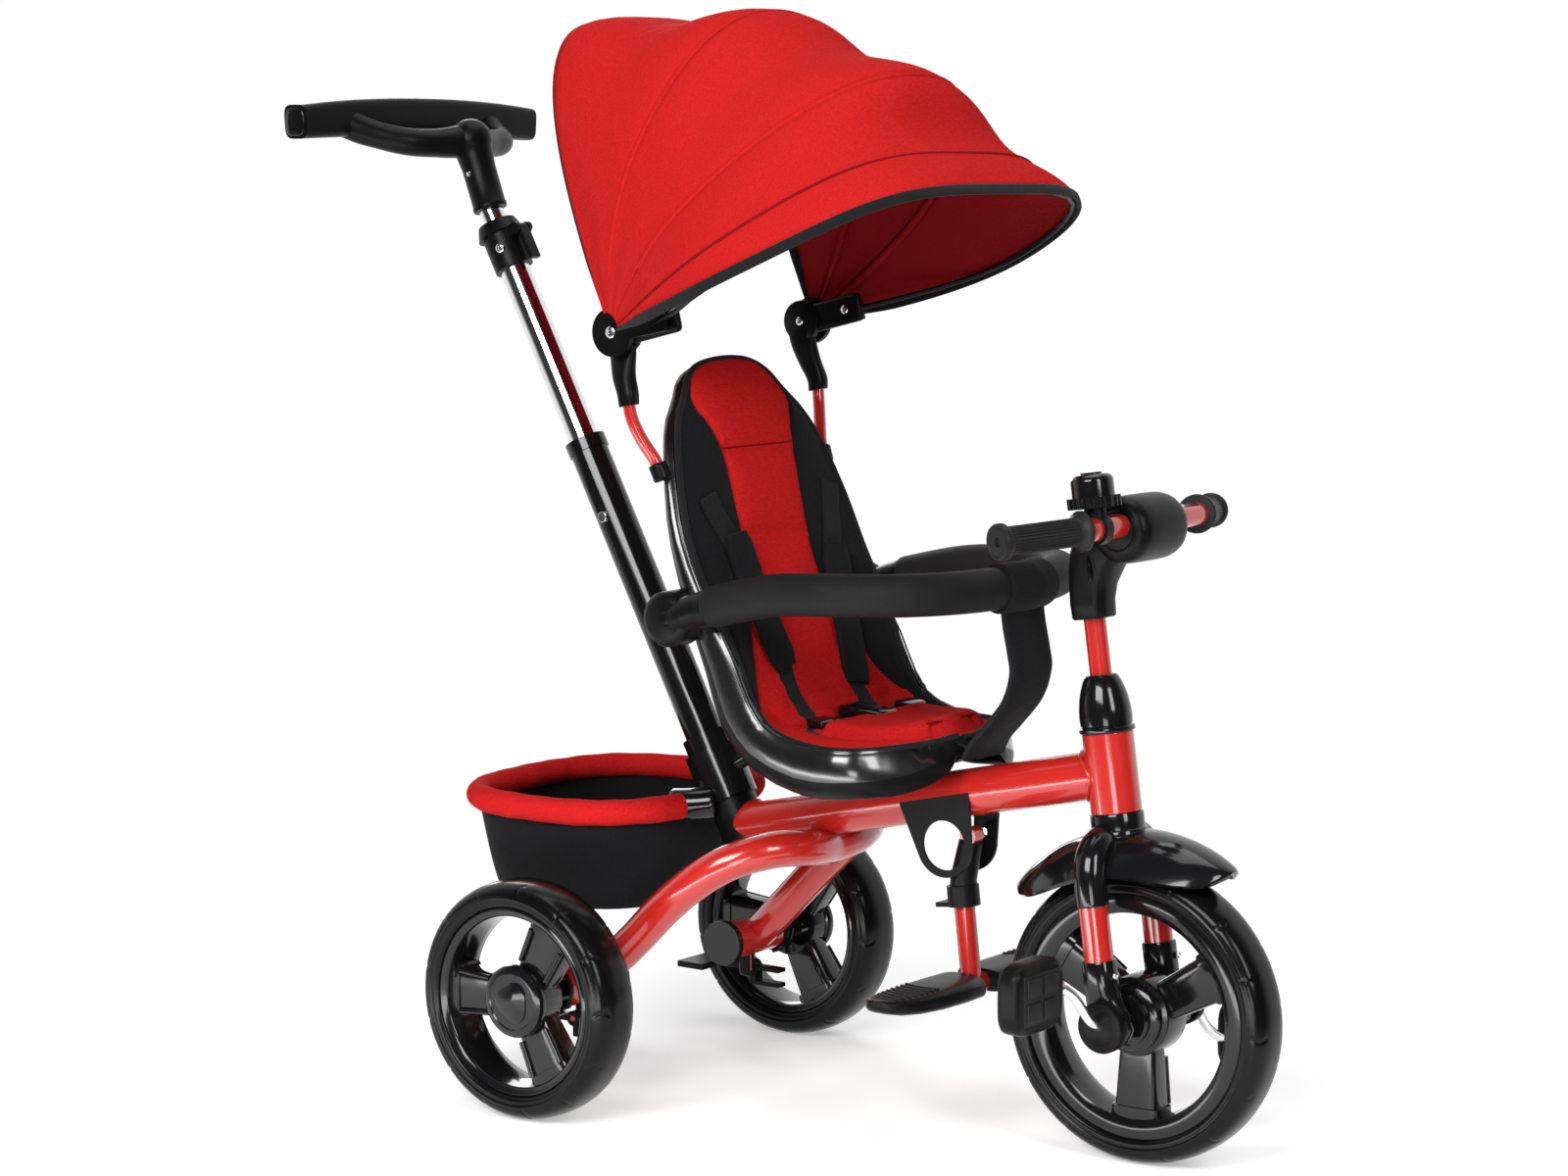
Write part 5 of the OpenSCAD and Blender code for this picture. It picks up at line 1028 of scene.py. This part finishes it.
CROTCH_SHARES = [[1, 0.1], [1.008, 0.2], [1.026, 0.34], [1.034, 0.45], [1.004, 0.60], [0.932, 0.745],
                 [0.885, 0.83], [0.864, 0.885], [0.856, 0.925]]
CROTCH_W, CROTCH_T = 60.0, 13.0
crotch = resample(curve([[RAIL_X + q[0] * RAIL_REACH, 0, RAIL_FRONT_Z - q[1] * (RAIL_FRONT_Z - SEAT_Z)]
                         for q in CROTCH_SHARES], 10), 3)
_, cn, _ = frames(crotch, (0.0, 1.0, 0.0))
front, rear = [], []
for k in range(len(crotch)):
    s = k / (len(crotch) - 1)
    swell = 0.55 + 0.45 * math.sin(math.pi * min(max(s, 0.02), 0.98)) ** 0.5
    row = np.linspace(-1, 1, 25)
    half_t = CROTCH_T / 2 * swell * (0.35 + 0.65 * (1 - np.abs(row) ** 3.5))
    y = CROTCH_W / 2 * row
    front.append([crotch[k] + cn[k] * h + [0, v, 0] for h, v in zip(half_t, y)])
    rear.append([crotch[k] - cn[k] * h + [0, v, 0] for h, v in zip(half_t, y)])
crotch_ob = closed_grid("crotch_strap_pad", front, rear, "black_fabric", angle=70)
ride(crotch_ob, "guardrail", "crotch_pad", fill=0.7)
mid = len(rail) // 2
wrap_path = [p for p in resample(rail[mid - 12:mid + 13], 2) if abs(p[1]) <= CROTCH_W / 2]
wrap = tube("crotch_strap_wrap", wrap_path, FOAM_R + 3.4, "black_fabric", 32, round_end=2.0)
ride(wrap, "guardrail", fill=0.3)
for side, end in SIDES:
    line = crotch + [0, side * (CROTCH_W / 2), 0]
    ride(tube(f"crotch_piping_{end}", line, 2.0, "piping", 10, up=(0, 1, 0)), "guardrail")

# Basket
BASKET_X, BASKET_LEN, BASKET_W, BASKET_N, BAG_DEPTH = -58, 236, 276, 2.7, 92
RIM_R, RIM_Z, RIM_OPEN = 11.5, 257, 8.3


def rim_point(a, inset_by):
    a = math.radians(a)
    return np.array([BASKET_X + (BASKET_LEN / 2 - inset_by) * power(math.cos(a), 2 / BASKET_N),
                     (BASKET_W / 2 - inset_by) * power(math.sin(a), 2 / BASKET_N), RIM_Z])


rim_path = resample([rim_point(a, RIM_R) for a in np.linspace(RIM_OPEN, 360 - RIM_OPEN, 400)], 5)
rim_at = np.arange(len(rim_path))
rim_swell = 1 + 0.02 * np.sin(rim_at * 0.9) + 0.015 * np.sin(rim_at * 0.37 + 1)
rim_pad = tube("basket_rim_pad", rim_path, RIM_R, "red_fabric", 24, scale=rim_swell)
ride(rim_pad, "frame", "basket_rim", fill=0.8)
BAG_SHARES = curve([[0, 0.99], [0.12, 0.985], [0.6, 0.92], [0.9, 0.86], [1, 0.79]], 6)


def bag_rings(inset_by, lift):
    rings = []
    for q in BAG_SHARES:
        ring = []
        for a in np.linspace(0, -360, 120, endpoint=False):
            p = rim_point(a, RIM_R)
            sag = 1.6 * sind(7 * a) * math.sin(math.pi * min(q[0], 1))
            k = q[1] * (1 - (inset_by + sag) / (BASKET_LEN / 2))
            ring.append([BASKET_X + (p[0] - BASKET_X) * k, p[1] * k,
                         RIM_Z - RIM_R - GAP - q[0] * (BAG_DEPTH - RIM_R) + lift])
        rings.append(ring)
    return np.array(rings)


outer, inner = bag_rings(1.0, 0.0), bag_rings(3.5, 2.5)
n, k = outer.shape[:2]
half = n * k
faces = quads(n, k) + flipped(quads(n, k, start=half))
faces += [(j, half + j, half + (j + 1) % k, (j + 1) % k) for j in range(k)]
faces += [tuple(range(half - k, half)), tuple(range(2 * half - k, 2 * half))[::-1]]
bag = mesh_object("basket_bag_cloth", place(np.vstack([*outer, *inner])), faces, "black_fabric", 70)
ride(bag, "frame", "basket_bag")

# Push handle
LEAN = math.radians(28)
TUBE_X, TUBE_Z = 84.8, 238.8
HANDLE_AT, HANDLE_X, HANDLE_HALF, HANDLE_BOW = 731, -44.5, 160, 6


def push_point(x, y, s):
    """A point beside the leaning push bar, s along it."""
    return np.array([TUBE_X + x * math.cos(LEAN) - s * math.sin(LEAN), y,
                     TUBE_Z + x * math.sin(LEAN) + s * math.cos(LEAN)])


bar_mid = push_point(HANDLE_X, 0, HANDLE_AT)
bar = np.array([bar_mid + [0, f * HANDLE_HALF, HANDLE_BOW * (1 - f * f)] for f in np.linspace(-1, 1, 61)])
taper = 1 - 0.12 * np.abs(np.linspace(-1, 1, 61)) ** 3
rings = swept(bar, square_section(15.5, 17.5, 4, 48), scale=taper)
ride(rings_object("handle_bar", rings, "matte_black"), "push_handle", "push_handle")
hub_at = push_point(9, 0, 684)
foot_at = push_point(0, 0, 617)
for side, end in SIDES:
    tip = push_point(HANDLE_X, side * 96, HANDLE_AT) + [2, 0, 0]
    knee = mix(hub_at, tip, 0.5) + [7, side * (13 if side < 0 else 24), -9]
    bend = [hub_at, mix(hub_at, knee, 0.5) + [1, 0, -2], knee, mix(knee, tip, 0.6) + [0, side * 2, -2], tip]
    branch = resample(curve(bend, 10), 4)
    swell = along(branch, [0, 0.3, 0.75, 1], [1.25, 1.0, 0.95, 1.1])
    ride(tube(f"handle_branch_{end}", branch, 13.0, "matte_black", 36, scale=swell), "push_handle")
    cap_at = bar[-1 if side > 0 else 0]
    cap = ((-2, 1), (1.2, 1), (1.9, 0.94), (2.0, 0.6), (2.0, 0.02))
    places = [(cap_at + [0, side * h, 0], [-11.0 * k, 0, 0], [0, 0, 12.6 * k]) for h, k in cap]
    ride(loft(f"handle_end_{end}", places, "gloss_black", 4.0), "push_handle", slot="matte_black")
axis = hub_at - foot_at
rise = float(np.linalg.norm(axis))
dome = [(11.02, 0), (15.4, 0), (16, 1), (16, 4), (15.4, 5), (15.6, rise * 0.6), (17, rise * 0.78)]
dome += [(20 * cosd(a), rise + 20 * sind(a)) for a in range(-30, 90, 8)]
ride(lathe("handle_hub", dome + [(0.4, rise + 20)], foot_at, axis, "matte_black"), "push_handle")
screw("handle_screw", push_point(4, -15.6, 652), (0, -1, 0), "push_handle", 2.6)
screw("clamp_screw", push_point(7, -18.0, 574), (0.2, -1, 0), BODY_OF["clamp_collar"], 4.2)

# Fender
FENDER_R, FENDER_T, FENDER_HALF, FENDER_DROP = 155.0, 3.0, 36.0, 33.0


def fender_grid(lift):
    grid = []
    for f in np.linspace(0, 1, 61):
        a = math.radians(mix(142, 56.5, f))
        w = FENDER_HALF * (1 - abs(2 * f - 1) ** 3.2) ** 0.5 + 3 * FENDER_T
        drop = FENDER_DROP * (w / (FENDER_HALF + 3 * FENDER_T)) ** 1.3
        rise = [FENDER_R + lift - drop * abs(v) ** 2.4 for v in np.linspace(-1, 1, 33)]
        grid.append([[WHEELBASE + r * math.cos(a), v * (w + lift), FRONT_R + r * math.sin(a)]
                     for r, v in zip(rise, np.linspace(-1, 1, 33))])
    return grid


fender = closed_grid("fender_shell", fender_grid(0.0), fender_grid(-FENDER_T), "gloss_black", angle=60)
ride(fender, "steering", "fender")
RAKE, TRAIL, LEG_X, LEG_Y = math.radians(8.3), 3.2, -3.0, 48


def steer_point(x, y, z):
    """A point in the raked frame of the steering, z up its axis from the wheel's height."""
    x -= TRAIL
    return np.array([WHEELBASE + x * math.cos(RAKE) - z * math.sin(RAKE), y,
                     FRONT_R + x * math.sin(RAKE) + z * math.cos(RAKE)])


def steer_dir(x, y, z):
    return steer_point(x, y, z) - steer_point(0, 0, 0)


for side, end in SIDES:
    cover = [(48, 98, 12.4), (48, 99, 13.4), (48, 112, 13.4), (46.5, 124, 13.6), (42, 135, 14),
             (34, 143, 14), (25, 147.5, 13.4), (15, 149, 12.4)]
    cover = curve([[*steer_point(LEG_X, side * y, z), r] for y, z, r in cover], 6)
    ride(tube(f"fender_cover_{end}", cover[:, :3], 1.0, "gloss_black", 36, up=(1, 0, 0), scale=cover[:, 3]),
         "steering")
    leg = [steer_point(LEG_X, side * LEG_Y, z) for z in np.linspace(32, 122, 16)]
    ride(tube(f"fork_leg_{end}", leg, 12.3, "red_paint", 36, up=(1, 0, 0)), "steering", "fork_legs")
    shoe = [(-17, 9, 6), (-15, 14, 8.4), (-6, 19, 9.4), (6, 19, 9.6), (14, 16.5, 10.6), (22, 14.4, 12.4),
            (30, 14, 13.4), (51, 13.8, 13.8), (52.4, 13.2, 13.2), (52.6, 11, 11)]
    shoe_x = [mix(TRAIL, LEG_X, min(max((z + 4) / 26, 0), 1)) for z, _, _ in shoe]
    places = [(steer_point(x, side * LEG_Y, z), steer_dir(u, 0, 0), [0, w, 0])
              for x, (z, u, w) in zip(shoe_x, shoe)]
    ride(loft(f"fork_shoe_{end}", places, "gloss_black", 2.4), "steering", "fork_shoes")
    screw(f"fork_shoe_screw_{end}", steer_point(13.2, side * 51, 40), (1, side * 0.4, 0), "steering", 3.2)

# Crown collar, stem cap, shroud with its pod, and grips
BAR_REACH, BAR_UP, GRIP_ROOT, GRIP_LEN = 57.0, 406.0, 85.0, 91.0
SWEEP = math.radians(21.5)
STEER_UP = steer_dir(0, 0, 1)
collar = [(9.4, 0), (23.6, 0), (24.4, 0.8), (24.4, 5), (23.6, 6), (22.6, 6.4), (22.6, 18), (22, 19.6),
          (9.4, 19.6)]
ride(lathe("crown_collar", collar, steer_point(0, 0, 149), STEER_UP, "gloss_black"), "steering", "fork_crown")
HEAD_LOW, HEAD_LEN = 169, 67
STEM_CAP = [(9.4, 0), (23, 0), (23.4, 0.8), (23.4, 3.4), (22.6, 4.2), (21, 4.4), (21, 5.4), (21.8, 6),
            (22.2, 12), (21.8, 20), (20.6, 28), (18.8, 35), (16.4, 41.5), (14.4, 45.4), (13.2, 47),
            (11.6, 47.6), (9.4, 47.6)]
ride(lathe("stem_cap_dome", STEM_CAP, steer_point(0, 0, HEAD_LOW + HEAD_LEN + GAP), STEER_UP,
           "gloss_black"), "steering", "stem_cap")
column = [(0, 331, 15.6, 15.6), (0, 332.5, 16.8, 16.8), (0, 345, 17.2, 17.4), (2.5, 358, 18.6, 18.4),
          (8, 372, 23, 19.5), (16, 384, 29, 21), (25, 395, 33, 22), (34, 404, 32, 22)]
places = [(steer_point(x, 0, z), steer_dir(u, 0, 0), [0, w, 0]) for x, z, u, w in column]
ride(loft("shroud_column", places, "matte_black", 2.8), "steering", "stem_shroud")
pod_at = steer_point(53.5, 0, 402)
pod = [(0.5, -38.6), (14, -38.4), (15, -37.6), (16.2, -37.6), (17, -38.2), (20, -37.4), (24, -35),
       (26.6, -31), (27.6, -26), (28, -12)]
ride(lathe("shroud_pod", both_ways(pod), pod_at, (0, 1, 0), "matte_black", 72), "steering")
slit = ((362, 0.3), (364, 1.3), (374, 1.7), (382, 1.3), (384, 0.3))
places = [(steer_point(13, -21.0, z), steer_dir(w, 0, 0), [0, 1.2, 0]) for z, w in slit]
ride(loft("shroud_slit", places, "gloss_black", 2.2, 16), "steering", slot="matte_black")
for side, end in SIDES:
    root = steer_point(BAR_REACH, side * GRIP_ROOT, BAR_UP)
    tip = steer_point(BAR_REACH - GRIP_LEN * math.sin(SWEEP),
                      side * (GRIP_ROOT + GRIP_LEN * math.cos(SWEEP)), BAR_UP)
    body_line = [(11.3, h, 0.42) for h in np.linspace(16, 80, 9)]
    grip = [(10.05, 5), (15.6, 5), (16.5, 6), (16.6, 8.6), (15.8, 9.8), (13.0, 11.5), (11.6, 14)] + body_line
    grip += [(11.7, 81.5), (13.4, 83), (14.8, 84.4), (15, 86), (15, 89), (14.2, 90.6), (12.4, 91),
             (11.6, 90.2), (4, 90.4), (3.2, 88.4), (0.3, 88.4)]
    ride(lathe(f"grip_{end}", grip, root, tip - root, "grip_rubber", 120, ribs=30), "steering", "grips")

# Pedals: rounded bodies with raised tread pads
CRANK_X, CRANK_DROP, PEDAL_Y = 11.7, 41.9, 156.0
for side, end in SIDES[::-1]:
    at = FRONT_AT + [side * CRANK_X, side * PEDAL_Y, -side * CRANK_DROP]
    body = f"pedal_{end}"
    half = [(-10.6, 0.82), (-9.8, 0.92), (-7.5, 0.985), (-4, 1.0)]
    cuts = half + [(-h, k) for h, k in half[::-1]]
    places = [(at + [h, 0, 0], [0, 36 * k, 0], [0, 0, 29.5 * k]) for h, k in cuts]
    ride(loft(f"pedal_body_{end}", places, "matte_black", 4.2, 64), body, body)
    for face, mark in ((-1, "a"), (1, "b")):
        plate = Matrix.Translation(at + [face * 10.4, 0, 0])
        ride(box_object(f"pedal_plate_{end}_{mark}", (2.0, 53, 41), plate, "grip_rubber", 0.9, 2), body)
        for k, (y, z) in enumerate(((-12.5, -10), (12.5, -10), (-12.5, 10), (12.5, 10))):
            spot = Matrix.Translation(at + [face * 11.8, y, z])
            tread = box_object(f"pedal_tread_{end}_{mark}_{k + 1}", (2.4, 20, 15.5), spot, "grip_rubber", 1.1)
            ride(tread, body)

# Crank: turned bosses and slim bent arms
BOSS_Y = LEG_Y + 10 + GAP
ride(lathe("crank_axle", [(6.9, -BOSS_Y), (6.9, BOSS_Y)], FRONT_AT, (0, 1, 0), "steel", 32), "crank",
     "crank", slot="gloss_black")
for side, end in SIDES:
    at = FRONT_AT + [0, side * BOSS_Y, 0]
    boss = [(6.9, 0), (20, 0), (21.4, 1.2), (21.4, 9), (20, 11.4), (15, 12.6), (14, 12.0), (0.4, 12.4)]
    ride(lathe(f"crank_boss_{end}", boss, at, (0, side, 0), "matte_black", 56), "crank", slot="gloss_black")
    arm_end = FRONT_AT + [side * CRANK_X, side * 110.0, -side * CRANK_DROP]
    bend = [at + [0, side * 8, 0], at + [side * 3.0, side * 22, -side * 9],
            mix(at, arm_end, 0.62) + [0, side * 6, -side * 4], arm_end + [0, 0, side * 2],
            arm_end + [0, side * 12, 0]]
    ride(tube(f"crank_arm_{end}", resample(curve(bend, 10), 2.5), 4.0, "steel", 28, up=(1, 0, 0.3),
              round_end=2.0), "crank")

# Footrest: leaf-shaped plates with tread strips, and the sleeve over the hanger's upper end
CROSS_X, CROSS_Z = 332.0, 127.0
KNUCKLE, FOOT_PIVOT = np.array([322.0, 0, 212.0]), np.array([331.0, 0, 256.0])
PLATE_CUTS = [(13, 21, 8), (15, 24.5, 10), (40, 26, 10), (75, 26, 9.6), (105, 24.5, 8.6), (125, 21, 7.4),
              (137, 15.5, 6), (143, 9, 4.6), (145, 2, 3.4)]
for side, end in SIDES:
    places = [([CROSS_X, side * y, CROSS_Z + 11.4 - t], [w, 0, 0], [0, 0, t]) for y, w, t in PLATE_CUTS]
    ride(loft(f"foot_plate_{end}", places, "matte_black", 3.2, 48), "footrest", "foot_plates")
    for k, y in enumerate(np.linspace(80, 133, 8)):
        w = float(np.interp(y, *list(zip(*PLATE_CUTS))[:2])) * 0.66
        strip = resample([[CROSS_X + w * u, side * (y - 5 * u * u), CROSS_Z + 11.2]
                          for u in np.linspace(-1, 1, 13)], 2)
        ride(tube(f"foot_tread_{end}_{k + 1}", strip, 1.1, "grip_rubber", 10), "footrest")
hanger = resample([FOOT_PIVOT + [-1, 0, -6], KNUCKLE + [1, 0, 6], KNUCKLE + unit([10, 0, -85]) * 6], 3)
ride(tube("footrest_sleeve", hanger, 11.5, "matte_black", 28, up=(0, 1, 0), round_end=2.0,
          scale=np.linspace(0.9, 1.04, len(hanger))), "footrest")

# Canopy posts, hinge discs and the front bow's brackets
HINGE_Y = 126.0
ARM = curve([[90, 119.5, 558], [84, 122, 573], [76, 131, 592], [70, 137.5, 612], [67.5, 138.5, 632]], 8)
for side, end in SIDES:
    flip = np.array([1, side, 1])
    ride(tube(f"canopy_arm_{end}", ARM[:31] * flip, 5.5, "red_paint", 24, up=(1, 0, 0)), "frame",
         "canopy_arms")
    sleeve = tube(f"canopy_arm_sleeve_{end}", resample(ARM[:7], 3) * flip, 8.0, "matte_black", 24,
                  up=(1, 0, 0), round_end=2.0)
    ride(sleeve, "frame")
    disc_at = np.array([HINGE[0], HINGE_Y, HINGE[2]]) * flip
    disc = [(1, 0), (17, 0), (18.6, 1), (19, 2.4), (19, 7), (14, 7.6), (13, 8), (13, 21), (1, 21)]
    ride(lathe(f"canopy_post_disc_{end}", disc, disc_at, (0, side, 0), "matte_black", 48), "frame",
         "canopy_posts")
    screw(f"canopy_post_screw_{end}", disc_at, (0, -side, 0), "frame", 3.8)
    neck = [HINGE + [-1, HINGE_Y + 4, -8], HINGE + [1, HINGE_Y + 6, -22], HINGE + [5, HINGE_Y + 10, -38],
            ARM[31], ARM[27]]
    wide, thick = [14, 12.5, 10.2, 8.8, 8.2], [4.6, 6.4, 7.8, 8.2, 8.0]
    neck = curve([[*p, w, t] for p, w, t in zip(neck, wide, thick)], 6)
    places = [(q[:3] * flip, [q[3], 0, 0.2 * q[3]], [0, q[4], 0]) for q in neck]
    ride(loft(f"canopy_post_leg_{end}", places, "matte_black", 2.6), "frame")
    lean = BOW_ANGLE[3] - BOW_LIFT[3] * 0.8
    fore, up = np.array([cosd(lean), 0, sind(lean)]), np.array([-sind(lean), 0, cosd(lean)])
    mid = (HINGE + fore * 31) * [1, 0, 1] + np.array([0, side * 134.2, 0])
    ride(box_object(f"canopy_bracket_{end}", (68, 9.4, 26), axes_at(mid, fore, (0, 1, 0), up),
                    "matte_black", 4.4, 4), "bow_front")
    for face, mark in ((-1, "in"), (1, "out")):
        screw(f"canopy_bracket_screw_{end}_{mark}", mid + fore * 18 + [0, face * side * 4.7, 0],
              (0, face * side, 0), "bow_front", 3.8)

# Fasteners that show
for side, end in SIDES:
    head = screw(f"canopy_hinge_screw_{end}", np.array([HINGE[0], side * 148.2, HINGE[2]]), (0, side, 0),
                 "frame", 5.0)
    if side > 0:
        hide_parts("bolts")
screw("footrest_screw", (FOOT_PIVOT[0], 21.2, FOOT_PIVOT[2]), (0, 1, 0), "frame", 4.0)
for side, end in SIDES:
    lug = curve([[38, side * 36, RIM_Z], [52, side * 31, RIM_Z + 1], [68, side * 21, RIM_Z + 3]], 8)
    ride(tube(f"basket_lug_{end}", resample(lug, 2), 14.4, "gloss_black", 28, round_end=3.0), "frame")
    screw(f"basket_lug_screw_{end}", (54, side * 43.6, RIM_Z + 3), (0.5, side, 0), "frame", 3.6)
    cover = Matrix.Translation((0, side * 121, REAR_R - 19))
    ride(box_object(f"brake_lug_cover_{end}", (15.4, 7.4, 38), cover, "matte_black", 3.4), "frame")

# Weld bead where the main tube meets the head tube
WELD_R, HEAD_R, MAIN_R = 20.9, 21.5, 20.5
slope = math.radians(12.5)
bead_dir = np.array([math.cos(slope), 0, math.sin(slope)])
bead_up = np.array([-math.sin(slope), 0, math.cos(slope)])
weld_x = steer_point(0, 0, 195)[0] - 24.0
weld_mid = np.array([weld_x, 0, TUBE_Z + (weld_x - TUBE_X) * math.tan(slope)])
saddle = []
for a in np.linspace(0, 2 * math.pi, 49):
    side = math.sin(a)
    reach = HEAD_R - math.sqrt(HEAD_R ** 2 - (MAIN_R * side) ** 2) if abs(side) < 0.999 else 15.0
    saddle.append(weld_mid + WELD_R * (math.cos(a) * bead_up + side * np.array([0, 1, 0]))
                  + bead_dir * reach * 0.9)
ride(tube("weld_bead_head", saddle, 1.9, "red_paint", 12, up=(1, 0, 0)), "frame")
